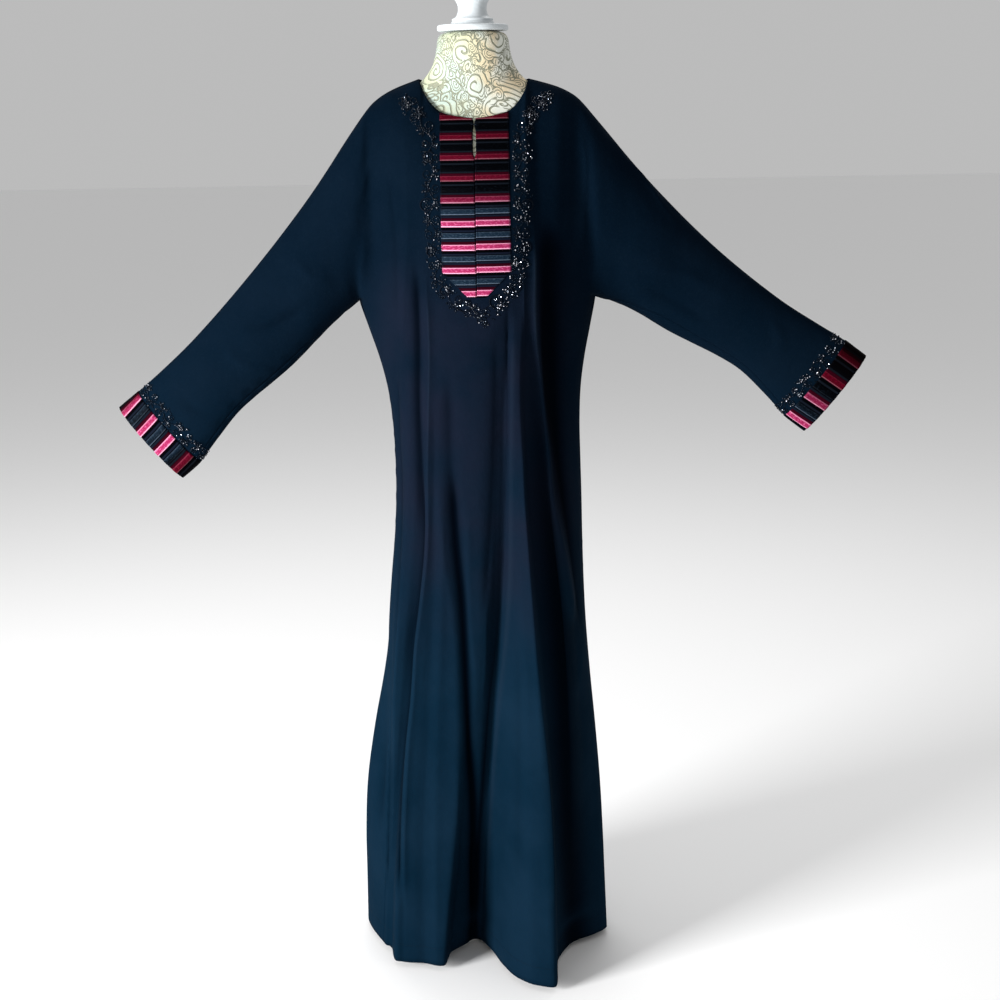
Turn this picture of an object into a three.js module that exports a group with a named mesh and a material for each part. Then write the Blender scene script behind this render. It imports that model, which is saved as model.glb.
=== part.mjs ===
// A long kaftan worn on a limbless dress form with a turned cap, a pole and a three-armed base.
// Millimetres, +Z up, the wearer faces -Y. The origin is the centre of the base's underside.
// Left is -X, as the kaftan is seen from the front.
import * as THREE from 'three';

// ---- driving sizes ----

const CLOTH_WALL = 1.2;
const TRIM_WALL = 1.2;
const SEAM_GAP = 0.3;
const ARMPIT_GAP = 1.2;
const LAY_GAP = 0.3;
const FORM_FORWARD = 20;

// Heights at which each fold of the skirt is placed.
const LEVELS = [1145, 1000, 820, 600, 300, 12];
const ROWS_PER_LEVEL = 3;

// How far down from the shoulder or neck edge to the armpit level each row of the chest lies.
const CHEST_ROWS = [0, 0.035, 0.12, 0.21, 0.33, 0.46, 0.58, 0.7, 0.8125, 0.94, 1];
const UPPER = CHEST_ROWS.length - 1;
const CARRY_ROW = 8;
const CHEST_FALL = 3.4;
const BOW_FADE = 1.6;

// The front slit below the neck: half its width at each chest row, closed at its top by a hook.
const SLIT_HALF_WIDTHS = [0.4, 2, 2.1];

// ---- cut of the cloth ----
// A row for each fold, from left to right.
// top: [x, y, z] where it starts on the shoulder or neck edge
// bow: how far the cloth stands out between that edge and the armpit level
// barrel: 1 where that cloth is half a sleeve, 0 where it lies on the chest
// round: how quickly it falls away from that edge, 1 for a plain slope and less for a round shoulder
// steps: grid columns up to the next fold
// x, y: where it lies at each of LEVELS

const FRONT_FOLDS = [
  { name: 'seam_left', top: [-186, 0, 1428], bow: 64, barrel: 1, round: 0.58, steps: 3,
    x: [-194, -152, -144, -163, -172, -190], y: [5, 0, 0, -4, -40, -36] },
  { name: 'arm_left', top: [-160, 0, 1459], bow: 22, barrel: 0.5, round: 0.6, steps: 2,
    x: [-142, -135, -135, -156, -168, -184], y: [-68, -44, -36, -32, -46, -47] },
  { name: 'shoulder_left', top: [-134, 0, 1476], bow: 6, barrel: 0.15, round: 0.64, steps: 2,
    x: [-116, -117, -124, -148, -163, -179], y: [-92, -72, -62, -58, -56, -50] },
  { name: 'collar_left', top: [-110, 0, 1486], bow: 0, barrel: 0, round: 0.72, steps: 1,
    x: [-97, -96, -99, -121, -156, -174], y: [-104, -90, -79, -70, -62, -58] },
  { name: 'neck_left', top: [-87, 0, 1494], bow: 0, barrel: 0, round: 0.84, steps: 2,
    x: [-81, -83, -92, -115, -151, -165], y: [-112, -106, -104, -106, -106, -101] },
  { name: 'yoke_left', top: [-72, -38, 1462], bow: 0, barrel: 0, round: 1, steps: 1,
    x: [-66, -70, -77, -98, -128, -138], y: [-117, -112, -110, -112, -112, -109] },
  { name: 'bib_left', top: [-54, -50, 1444], bow: 0, barrel: 0, round: 1, steps: 2,
    x: [-54, -58, -60, -74, -98, -112], y: [-121, -116, -114, -115, -116, -113] },
  { name: 'bib_mid_left', top: [-27, -59, 1436], bow: 0, barrel: 0, round: 1, steps: 2,
    x: [-27, -32, -38, -36, -54, -80], y: [-126, -122, -119, -118, -120, -121] },
  { name: 'centre', top: [0, -62, 1433], bow: 0, barrel: 0, round: 1, steps: 2,
    x: [0, 0, -3, -7, -39, -69], y: [-128, -125, -122, -118, -110, -76] },
  { name: 'bib_mid_right', top: [27, -59, 1436], bow: 0, barrel: 0, round: 1, steps: 2,
    x: [27, 24, 17, 9, -13, -36], y: [-127, -122, -117, -110, -96, -45] },
  { name: 'bib_right', top: [54, -50, 1443], bow: 0, barrel: 0, round: 1, steps: 3,
    x: [52, 40, 35, 24, 2, -18], y: [-123, -115, -109, -100, -82, -37] },
  { name: 'crest_side', top: [63, -44, 1450], bow: 0, barrel: 0, round: 1, steps: 2,
    x: [61, 53, 54, 55, 55, 46], y: [-121, -126, -130, -136, -148, -166] },
  { name: 'crest', top: [71, -37, 1459], bow: 0, barrel: 0, round: 1, steps: 3,
    x: [69, 64, 71, 85, 110, 109], y: [-119, -130, -140, -156, -178, -198] },
  { name: 'crest_back', top: [80, -27, 1474], bow: 0, barrel: 0, round: 0.92, steps: 2,
    x: [78, 73, 84, 104, 120, 118], y: [-115, -110, -108, -108, -112, -114] },
  { name: 'neck_right', top: [87, 0, 1492], bow: 0, barrel: 0, round: 0.84, steps: 2,
    x: [102, 104, 114, 137, 150, 146], y: [-103, -102, -108, -104, -92, -66] },
  { name: 'shoulder_right', top: [132, 0, 1479], bow: 8, barrel: 0.15, round: 0.64, steps: 2,
    x: [124, 124, 141, 156, 171, 173], y: [-88, -76, -70, -62, -52, -38] },
  { name: 'arm_right', top: [162, 0, 1463], bow: 24, barrel: 0.5, round: 0.6, steps: 2,
    x: [154, 147, 156, 167, 184, 192], y: [-58, -42, -38, -34, -28, -18] },
  { name: 'seam_right', top: [188, 0, 1435], bow: 64, barrel: 1, round: 0.58, steps: 3,
    x: [192, 167, 167, 173, 197, 209], y: [5, 0, 0, 2, 4, 6] },
];

const BACK_FOLDS = [
  { ...FRONT_FOLDS[0] },
  { name: 'back_arm_left', top: [-160, 0, 1459], bow: 22, barrel: 0.5, round: 0.6, steps: 2,
    x: [-150, -140, -137, -158, -212, -224], y: [62, 46, 44, 40, 26, 56] },
  { name: 'back_shoulder_left', top: [-134, 0, 1476], bow: 6, barrel: 0.15, round: 0.64, steps: 2,
    x: [-122, -118, -116, -136, -186, -208], y: [84, 76, 80, 84, 102, 150] },
  { name: 'back_collar_left', top: [-110, 0, 1486], bow: 0, barrel: 0, round: 0.72, steps: 1,
    x: [-104, -96, -94, -112, -150, -172], y: [94, 86, 84, 86, 96, 120] },
  { name: 'back_neck_left', top: [-87, 0, 1494], bow: 0, barrel: 0, round: 0.84, steps: 2,
    x: [-84, -76, -74, -88, -120, -138], y: [101, 100, 104, 112, 134, 164] },
  { name: 'back_left_inner', top: [-60, 40, 1485], bow: 0, barrel: 0, round: 1, steps: 2,
    x: [-56, -52, -50, -58, -72, -84], y: [106, 98, 94, 92, 102, 130] },
  { name: 'back_left_crest', top: [-28, 52, 1480], bow: 0, barrel: 0, round: 1, steps: 2,
    x: [-28, -26, -26, -28, -35, -40], y: [109, 108, 112, 122, 146, 176] },
  { name: 'back_centre', top: [0, 56, 1478], bow: 0, barrel: 0, round: 1, steps: 2,
    x: [2, 2, 0, -2, -4, -4], y: [110, 104, 102, 100, 114, 154] },
  { name: 'back_right_crest', top: [28, 52, 1480], bow: 0, barrel: 0, round: 1, steps: 2,
    x: [32, 30, 30, 34, 39, 42], y: [109, 110, 114, 126, 150, 180] },
  { name: 'back_right_inner', top: [60, 40, 1485], bow: 0, barrel: 0, round: 1, steps: 2,
    x: [58, 54, 54, 62, 73, 82], y: [106, 98, 94, 94, 104, 132] },
  { name: 'back_neck_right', top: [87, 0, 1492], bow: 0, barrel: 0, round: 0.84, steps: 2,
    x: [86, 80, 80, 92, 108, 120], y: [101, 100, 106, 114, 136, 164] },
  { name: 'back_shoulder_right', top: [132, 0, 1479], bow: 8, barrel: 0.15, round: 0.64, steps: 2,
    x: [116, 108, 110, 124, 143, 156], y: [88, 80, 82, 86, 100, 122] },
  { name: 'back_arm_right', top: [162, 0, 1463], bow: 24, barrel: 0.5, round: 0.6, steps: 2,
    x: [150, 142, 146, 158, 178, 190], y: [60, 54, 56, 64, 78, 92] },
  { ...FRONT_FOLDS.at(-1) },
];

// A row for each station of a sleeve, from its cuff in to the armpit fold.
// top, under: [x, z] of the over-arm line and of the lowest line
// bow: half the tube's depth; turn: how far the underarm seam is turned to the front, in radians
const LEFT_SLEEVE = [
  { name: 'cuff', top: [-597, 975], under: [-500, 856], bow: 24, turn: 0.45, steps: 2 },
  { name: 'band', top: [-564, 1002], under: [-468, 883], bow: 27, turn: 0.45, steps: 2 },
  { name: 'forearm', top: [-480, 1075], under: [-402, 963], bow: 34, turn: 0.5, steps: 3 },
  { name: 'elbow', top: [-370, 1191], under: [-309, 1040], bow: 42, turn: 0.5, steps: 3 },
  { name: 'upper', top: [-267, 1315], under: [-240, 1107], bow: 56, turn: 0.3, steps: 3 },
];
const RIGHT_SLEEVE = [
  { name: 'cuff', top: [636, 1040], under: [538, 917], bow: 24, turn: 0.45, steps: 2 },
  { name: 'band', top: [602, 1066], under: [504, 944], bow: 27, turn: 0.45, steps: 2 },
  { name: 'forearm', top: [505, 1127], under: [429, 1021], bow: 34, turn: 0.6, steps: 3 },
  { name: 'elbow', top: [386, 1222], under: [311, 1087], bow: 42, turn: 0.7, steps: 3 },
  { name: 'upper', top: [274, 1334], under: [240, 1129], bow: 56, turn: 0.4, steps: 3 },
];

// ---- sizes of the dress form ----
// A row for each level: half width, depth in front and behind, and how square the section is.
const FORM_SECTIONS = [
  { z: 762, half: 60, front: 40, back: 44, square: 2 },
  { z: 764, half: 108, front: 70, back: 76, square: 2.1 },
  { z: 780, half: 120, front: 78, back: 86, square: 2.2 },
  { z: 860, half: 124, front: 80, back: 88, square: 2.2 },
  { z: 940, half: 108, front: 72, back: 76, square: 2.2 },
  { z: 1010, half: 100, front: 70, back: 70, square: 2.2 },
  { z: 1080, half: 110, front: 84, back: 76, square: 2.2 },
  { z: 1150, half: 124, front: 98, back: 84, square: 2.2 },
  { z: 1220, half: 134, front: 102, back: 90, square: 2.2 },
  { z: 1300, half: 142, front: 90, back: 90, square: 2.2 },
  { z: 1360, half: 150, front: 76, back: 80, square: 2.1 },
  { z: 1400, half: 156, front: 65, back: 70, square: 2 },
  { z: 1430, half: 156, front: 56, back: 60, square: 1.8 },
  { z: 1450, half: 140, front: 50, back: 52, square: 1.5 },
  { z: 1466, half: 120, front: 48, back: 49, square: 1.4 },
  { z: 1480, half: 96, front: 46, back: 48, square: 1.4 },
  { z: 1494, half: 78.5, front: 47, back: 49, square: 1.4 },
  { z: 1508, half: 67, front: 51, back: 51, square: 1.75 },
  { z: 1526, half: 60, front: 54, back: 54, square: 2 },
  { z: 1545, half: 57, front: 55, back: 55, square: 2 },
  { z: 1565, half: 55.5, front: 55, back: 55, square: 2 },
];
const FORM_SIDES = 36;

// Turned profiles, [radius, height], from the axis round to the axis.
const CAP_PROFILE = [
  [0, 0], [54, 0], [56, 2], [56, 7.5], [54, 9.5], [34, 10.5], [33.5, 14], [31.5, 15.5],
  [31.5, 19], [25, 22], [22.5, 30], [22.5, 38], [27, 46], [31, 53], [32.5, 62], [30.5, 72],
  [25, 80], [16, 86], [0, 89],
];
const CAP_SIDES = 28;
const CAP_BOTTOM = 1565.3;

const HUB_PROFILE = [[0, 0], [24, 0], [26, 2], [26, 8], [22, 12], [20, 24], [17.5, 27], [0, 27]];
const HUB_SIDES = 28;
const POLE_RADIUS = 14;
const POLE_SIDES = 20;

// The base: three flat arms on the floor, one to the back.
const BASE = { arms: 3, reach: 125, halfWidth: 16, height: 15, bevel: 2 };
const JOINT_GAP = 0.3;

// ---- colours ----

const CREPE = { color: 0x101720, roughness: 0.85, metalness: 0 };
const STRIPED_SATIN = { color: 0xa02848, roughness: 0.5, metalness: 0 };
const FORM_CLOTH = { color: 0xcfc39c, roughness: 0.8, metalness: 0 };
const WHITE_PAINT = { color: 0xf0f0ee, roughness: 0.4, metalness: 0 };
const STEEL = { color: 0xb9bcc0, roughness: 0.35, metalness: 0.9 };

// ---- small helpers ----

const { lerp } = THREE.MathUtils;
const vector = ([x, y, z]) => new THREE.Vector3(x, y, z);
const splineOf = (points, closed = false) => new THREE.CatmullRomCurve3(points, closed, 'centripetal');

// A smooth value between the rows of a table, at a row number that may be a fraction.
function between(rows, key, at) {
  const row = Math.min(Math.floor(at), rows.length - 2);
  const part = at - row;
  const eased = part * part * (3 - 2 * part);
  return lerp(rows[row][key], rows[row + 1][key], eased);
}

// ---- the skirt: closed rings through the folds ----

const RING_ROWS = [...FRONT_FOLDS, ...BACK_FOLDS.slice(1, -1).reverse()];
const RINGS = LEVELS.map((height, level) =>
  splineOf(RING_ROWS.map((fold) => new THREE.Vector3(fold.x[level], fold.y[level], height)), true));

function ringPoints(side, fold) {
  const place = side.isFront ? fold : RING_ROWS.length - fold;
  return RINGS.map((ring) => ring.getPoint((place / RING_ROWS.length) % 1));
}

// A point of the skirt. Its column carries on the slope of the chest above it.
function skirtPoint(side, at, row) {
  const points = ringPoints(side, at - side.bodyStart);
  const above = upperPoint(side, at, CARRY_ROW);
  const straight = points[0].clone().multiplyScalar(2).sub(points[1]);
  above.lerp(straight, between(side.stations, 'barrel', at));
  const column = splineOf([above, ...points]);
  return column.getPoint((1 + row / ROWS_PER_LEVEL) / points.length);
}

// ---- the front and the back, each cut in one with its half of both sleeves ----

function sleeveStations(rows) {
  return rows.map((row) => ({
    ...row,
    barrel: 1,
    round: 1,
    top: [row.top[0], 0, row.top[1]],
    under: new THREE.Vector3(row.under[0], 0, row.under[1]),
  }));
}

function makeSide(isFront, folds) {
  const armpits = folds.map((fold) => ({
    ...fold,
    turn: 0,
    under: new THREE.Vector3(fold.x[0], fold.y[0], LEVELS[0]),
  }));
  const left = sleeveStations(LEFT_SLEEVE);
  const right = sleeveStations(RIGHT_SLEEVE).reverse();
  const stations = [...left, ...armpits, ...right];
  const neckLeft = stations.findIndex((station) => station.name.endsWith('neck_left'));
  const neckRight = stations.findIndex((station) => station.name.endsWith('neck_right'));
  const bodyStart = left.length;
  const bodyEnd = left.length + folds.length - 1;
  const corners = [0, neckLeft, neckRight, stations.length - 1];
  const tops = corners.slice(1).map((end, piece) => ({
    start: corners[piece],
    end,
    curve: splineOf(stations.slice(corners[piece], end + 1).map(({ top }) => vector(top))),
  }));
  const underLeft = splineOf(stations.slice(0, bodyStart + 1).map(({ under }) => under));
  const underRight = splineOf(stations.slice(bodyEnd).map(({ under }) => under));
  return { isFront, stations, tops, underLeft, underRight, bodyStart, bodyEnd };
}

function topPoint(side, at) {
  const piece = side.tops.find(({ end }) => at <= end);
  return piece.curve.getPoint((at - piece.start) / (piece.end - piece.start));
}

function underPoint(side, at) {
  if (at < side.bodyStart) return side.underLeft.getPoint(at / side.bodyStart);
  if (at <= side.bodyEnd) return ringPoints(side, at - side.bodyStart)[0];
  const last = side.stations.length - 1;
  return side.underRight.getPoint((at - side.bodyEnd) / (last - side.bodyEnd));
}

// A point above the armpit level: on a half sleeve tube, on the chest, or between the two.
function upperPoint(side, at, row) {
  const top = topPoint(side, at);
  const under = underPoint(side, at);
  const bow = between(side.stations, 'bow', at);
  const barrel = between(side.stations, 'barrel', at);
  const turn = between(side.stations, 'turn', at);
  const outward = side.isFront ? -1 : 1;
  const angle = (Math.PI + outward * turn) * (row / UPPER);
  const tubeDrop = (1 - Math.cos(angle)) / 2;
  const drop = lerp(CHEST_ROWS[row], tubeDrop, barrel);
  const chestReach = (1 - (1 - drop) ** CHEST_FALL) ** between(side.stations, 'round', at);
  const reach = lerp(chestReach, drop, barrel);
  const fade = lerp(BOW_FADE * (1 - row / UPPER), 1, barrel ** 4);
  return new THREE.Vector3(
    lerp(top.x, under.x, drop),
    lerp(top.y, under.y, reach) + outward * bow * fade * Math.sin(angle),
    lerp(top.z, under.z, drop),
  );
}

// The grid of a side. Sleeve columns stop at the armpit level, body columns go on to the hem.
function makeGrid(side) {
  const ats = side.stations.slice(0, -1).flatMap((station, index) => {
    const steps = index >= side.bodyEnd ? side.stations[index + 1].steps : station.steps;
    return Array.from({ length: steps }, (_, step) => index + step / steps);
  });
  ats.push(side.stations.length - 1);
  const firstBody = ats.indexOf(side.bodyStart);
  const lastBody = ats.indexOf(side.bodyEnd);
  const hemRow = UPPER + ROWS_PER_LEVEL * (LEVELS.length - 1);
  const columns = ats.map((at, index) => {
    const upper = CHEST_ROWS.map((_, row) => upperPoint(side, at, row));
    if (index < firstBody || index > lastBody) return upper;
    const skirt = Array.from({ length: hemRow - UPPER }, (_, row) =>
      skirtPoint(side, at, row + 1));
    return [...upper, ...skirt];
  });
  return { side, ats, columns, firstBody, lastBody, hemRow };
}

const FRONT_GRID = makeGrid(makeSide(true, FRONT_FOLDS));
const BACK_GRID = makeGrid(makeSide(false, BACK_FOLDS));
const columnOf = (grid, name) =>
  grid.ats.indexOf(grid.side.stations.findIndex((station) => station.name === name));
const SLIT_COLUMN = columnOf(FRONT_GRID, 'centre');

// ---- shared normals ----
// Both sides add to the same table, so the walls of two panels meet square at a seam.

const pointKey = (point) => point.toArray().map((value) => Math.round(value * 100)).join();
const normalTable = new Map();

function quadTriangles(a, b, c, d) {
  return [[a, b, c], [a, c, d]];
}

function addNormals(grid) {
  const flip = grid.side.isFront ? 1 : -1;
  for (let i = 0; i + 1 < grid.columns.length; i += 1) {
    const rows = Math.min(grid.columns[i].length, grid.columns[i + 1].length) - 1;
    for (let j = 0; j < rows; j += 1) {
      const corners = [
        grid.columns[i][j], grid.columns[i][j + 1],
        grid.columns[i + 1][j + 1], grid.columns[i + 1][j],
      ];
      for (const [a, b, c] of quadTriangles(...corners)) {
        const normal = b.clone().sub(a).cross(c.clone().sub(a)).multiplyScalar(flip);
        for (const corner of [a, b, c]) {
          const key = pointKey(corner);
          normalTable.set(key, (normalTable.get(key) ?? new THREE.Vector3()).add(normal));
        }
      }
    }
  }
}

addNormals(FRONT_GRID);
addNormals(BACK_GRID);
for (const normal of normalTable.values()) normal.normalize();
const normalAt = (point) => normalTable.get(pointKey(point));

// ---- closed walls from a sheet ----

// The wall lies between the sheet and its copy one wall further in along the normals.
class Sheet {
  constructor() {
    this.keys = new Map();
    this.outer = [];
    this.inner = [];
    this.faces = [];
  }

  vertex(key, point, normal, wall) {
    if (!this.keys.has(key)) {
      this.keys.set(key, this.outer.length);
      this.outer.push(point);
      this.inner.push(point.clone().addScaledVector(normal, -wall));
    }
    return this.keys.get(key);
  }

  quad(a, b, c, d) {
    for (const face of quadTriangles(a, b, c, d)) {
      if (new Set(face).size === 3) this.faces.push(face);
    }
  }

  geometry() {
    const count = this.outer.length;
    const edges = new Set(this.faces.flatMap(([a, b, c]) => [`${a},${b}`, `${b},${c}`, `${c},${a}`]));
    const index = [];
    for (const [a, b, c] of this.faces) {
      index.push(a, b, c, c + count, b + count, a + count);
      for (const [from, to] of [[a, b], [b, c], [c, a]]) {
        if (edges.has(`${to},${from}`)) continue;
        index.push(to, from, from + count, to, from + count, to + count);
      }
    }
    const geometry = new THREE.BufferGeometry().setFromPoints([...this.outer, ...this.inner]);
    geometry.setIndex(index);
    return geometry;
  }
}

// The point of a panel at a seam, drawn back into the panel by half the seam's gap.
function seamedPoint(grid, i, j) {
  const { columns, side, firstBody, lastBody } = grid;
  const point = columns[i][j];
  const topSeam = j === 0 && topPoint(side, grid.ats[i]).y === 0;
  const underSeam = j === UPPER && (i <= firstBody || i >= lastBody);
  const sideSeam = j > UPPER && (i === firstBody || i === lastBody);
  if (!topSeam && !underSeam && !sideSeam) return point.clone();
  const inward = i === firstBody && j >= UPPER ? 1 : i === lastBody && j >= UPPER ? -1 : 0;
  const along = topSeam ? 1 : underSeam ? -1 : 0;
  const toward = columns[i + inward][j + along].clone().sub(point).normalize();
  const gap = inward !== 0 && underSeam ? ARMPIT_GAP : SEAM_GAP;
  return point.clone().addScaledVector(toward, gap / 2);
}

function panelSheet(grid) {
  const sheet = new Sheet();
  const corner = (i, j, cellIsLeft) => {
    const slit = grid.side.isFront && i === SLIT_COLUMN && j < SLIT_HALF_WIDTHS.length;
    const point = seamedPoint(grid, i, j);
    const normal = normalAt(grid.columns[i][j]);
    if (!slit) return sheet.vertex(`${i},${j}`, point, normal, CLOTH_WALL);
    point.x += cellIsLeft ? -SLIT_HALF_WIDTHS[j] : SLIT_HALF_WIDTHS[j];
    return sheet.vertex(`${i},${j},${cellIsLeft}`, point, normal, CLOTH_WALL);
  };
  for (let i = 0; i + 1 < grid.columns.length; i += 1) {
    const rows = Math.min(grid.columns[i].length, grid.columns[i + 1].length) - 1;
    for (let j = 0; j < rows; j += 1) {
      const cell = [
        corner(i, j, false), corner(i, j + 1, false),
        corner(i + 1, j + 1, true), corner(i + 1, j, true),
      ];
      sheet.quad(...(grid.side.isFront ? cell : cell.reverse()));
    }
  }
  return sheet;
}

// ---- the striped bib: two halves laid on the front, chamfered at the bottom ----

const BIB_LAST_ROW = 9;
const BIB_CHAMFER = 40;
const BIB_EDGE_INSET = 0.6;

function bibSheet(isLeft) {
  const edge = columnOf(FRONT_GRID, isLeft ? 'bib_left' : 'bib_right');
  const start = Math.min(edge, SLIT_COLUMN);
  const end = Math.max(edge, SLIT_COLUMN);
  const edgeX = FRONT_GRID.columns[edge][BIB_LAST_ROW].x;
  const sheet = new Sheet();
  const corner = (i, j) => {
    const column = FRONT_GRID.columns[i];
    const point = column[j].clone();
    const normal = normalAt(column[j]).clone();
    if (j === BIB_LAST_ROW) {
      const down = Math.min(1, Math.abs(column[j].x - edgeX) / BIB_CHAMFER);
      if (down === 0) return corner(i, j - 1);
      point.lerp(column[j - 1], 1 - down);
      normal.lerp(normalAt(column[j - 1]), 1 - down).normalize();
    }
    if (i === SLIT_COLUMN) {
      const half = SLIT_HALF_WIDTHS[j] ?? SEAM_GAP / 2;
      point.x += isLeft ? -half : half;
    }
    if (i === edge) point.x += isLeft ? BIB_EDGE_INSET : -BIB_EDGE_INSET;
    point.addScaledVector(normal, LAY_GAP + TRIM_WALL);
    return sheet.vertex(`${i},${j}`, point, normal, TRIM_WALL);
  };
  for (let i = start; i < end; i += 1) {
    for (let j = 0; j < BIB_LAST_ROW; j += 1) {
      sheet.quad(corner(i, j), corner(i, j + 1), corner(i + 1, j + 1), corner(i + 1, j));
    }
  }
  return sheet;
}

// ---- the striped cuffs: a band round the end of each sleeve ----

function cuffSheet(isLeft) {
  const band = isLeft ? LEFT_SLEEVE[0].steps : RIGHT_SLEEVE[0].steps;
  const last = FRONT_GRID.columns.length - 1;
  const first = isLeft ? 0 : last - band;
  const columns = Array.from({ length: band + 1 }, (_, step) => first + step);
  const lastBack = BACK_GRID.columns.length - 1;
  const sheet = new Sheet();
  const around = 2 * UPPER;
  const corner = (step, turn) => {
    const row = turn % around;
    const onFront = row <= UPPER;
    const grid = onFront ? FRONT_GRID : BACK_GRID;
    const i = isLeft || onFront ? columns[step] : lastBack - band + step;
    const point = grid.columns[i][onFront ? row : around - row];
    const normal = normalAt(point);
    const laid = point.clone().addScaledVector(normal, LAY_GAP + TRIM_WALL);
    return sheet.vertex(`${step},${row}`, laid, normal, TRIM_WALL);
  };
  for (let step = 0; step < band; step += 1) {
    for (let turn = 0; turn < around; turn += 1) {
      const outerEdge = [corner(step, turn), corner(step, turn + 1)];
      const innerEdge = [corner(step + 1, turn + 1), corner(step + 1, turn)];
      sheet.quad(...outerEdge, ...innerEdge);
    }
  }
  return sheet;
}

// ---- the dress form, its cap, pole and base ----

function formGeometry() {
  const points = FORM_SECTIONS.flatMap(({ z, half, front, back, square }) =>
    Array.from({ length: FORM_SIDES }, (_, side) => {
      const angle = (2 * Math.PI * side) / FORM_SIDES;
      const across = Math.cos(angle);
      const deep = Math.sin(angle);
      const depth = deep < 0 ? front : back;
      return new THREE.Vector3(
        half * Math.sign(across) * Math.abs(across) ** (2 / square),
        depth * Math.sign(deep) * Math.abs(deep) ** (2 / square),
        z,
      );
    }));
  const last = FORM_SECTIONS.length - 1;
  points.push(new THREE.Vector3(0, 0, FORM_SECTIONS[0].z), new THREE.Vector3(0, 0, FORM_SECTIONS[last].z));
  const [bottom, top] = [points.length - 2, points.length - 1];
  const index = [];
  for (let side = 0; side < FORM_SIDES; side += 1) {
    const next = (side + 1) % FORM_SIDES;
    for (let level = 0; level < last; level += 1) {
      const [low, high] = [level * FORM_SIDES, (level + 1) * FORM_SIDES];
      index.push(low + side, low + next, high + next, low + side, high + next, high + side);
    }
    index.push(bottom, next, side, top, last * FORM_SIDES + side, last * FORM_SIDES + next);
  }
  return new THREE.BufferGeometry().setFromPoints(points).setIndex(index);
}

function turned(profile, sides) {
  const outline = profile.map(([radius, height]) => new THREE.Vector2(radius, height));
  return new THREE.LatheGeometry(outline, sides).rotateX(Math.PI / 2);
}

function baseGeometry() {
  const { arms, reach, halfWidth, height, bevel } = BASE;
  const half = halfWidth - bevel;
  const notch = half / Math.sin(Math.PI / arms);
  const shape = new THREE.Shape();
  for (let arm = 0; arm < arms; arm += 1) {
    const angle = Math.PI / 2 + (2 * Math.PI * arm) / arms;
    const before = angle - Math.PI / arms;
    const end = new THREE.Vector2(Math.cos(angle), Math.sin(angle)).multiplyScalar(reach - halfWidth);
    const corner = [notch * Math.cos(before), notch * Math.sin(before)];
    if (arm === 0) shape.moveTo(...corner);
    else shape.lineTo(...corner);
    shape.absarc(end.x, end.y, half, angle - Math.PI / 2, angle + Math.PI / 2, false);
  }
  shape.closePath();
  const options = {
    depth: height - 2 * bevel,
    bevelThickness: bevel,
    bevelSize: bevel,
    bevelSegments: 1,
    curveSegments: 8,
  };
  return new THREE.ExtrudeGeometry(shape, options).translate(0, 0, bevel);
}

// ---- the object ----

function piece(name, geometry, finish, [x, y, z] = [0, 0, 0]) {
  geometry.computeVertexNormals();
  const mesh = new THREE.Mesh(geometry, new THREE.MeshStandardMaterial(finish));
  mesh.name = name;
  mesh.position.set(x, y, z);
  return mesh;
}

const worn = new THREE.Group();
worn.position.y = -FORM_FORWARD;
worn.add(
  piece('front', panelSheet(FRONT_GRID).geometry(), CREPE),
  piece('back', panelSheet(BACK_GRID).geometry(), CREPE),
  piece('bib_left', bibSheet(true).geometry(), STRIPED_SATIN),
  piece('bib_right', bibSheet(false).geometry(), STRIPED_SATIN),
  piece('cuff_left', cuffSheet(true).geometry(), STRIPED_SATIN),
  piece('cuff_right', cuffSheet(false).geometry(), STRIPED_SATIN),
  piece('dress_form', formGeometry(), FORM_CLOTH),
  piece('cap', turned(CAP_PROFILE, CAP_SIDES), WHITE_PAINT, [0, 0, CAP_BOTTOM]),
);

const hubBottom = BASE.height + JOINT_GAP;
const poleBottom = hubBottom + HUB_PROFILE.at(-1)[1] + JOINT_GAP;
const poleLength = FORM_SECTIONS[0].z - JOINT_GAP - poleBottom;
const pole = new THREE.CylinderGeometry(POLE_RADIUS, POLE_RADIUS, poleLength, POLE_SIDES);
pole.rotateX(Math.PI / 2);

const object = new THREE.Group();
object.add(
  worn,
  piece('pole', pole, STEEL, [0, 0, poleBottom + poleLength / 2]),
  piece('hub', turned(HUB_PROFILE, HUB_SIDES), WHITE_PAINT, [0, 0, hubBottom]),
  piece('base', baseGeometry(), WHITE_PAINT),
);

export default object;
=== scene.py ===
import math
import random

import bmesh
import bpy
import numpy as np
from mathutils import Matrix, Vector
from mathutils.bvhtree import BVHTree


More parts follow.
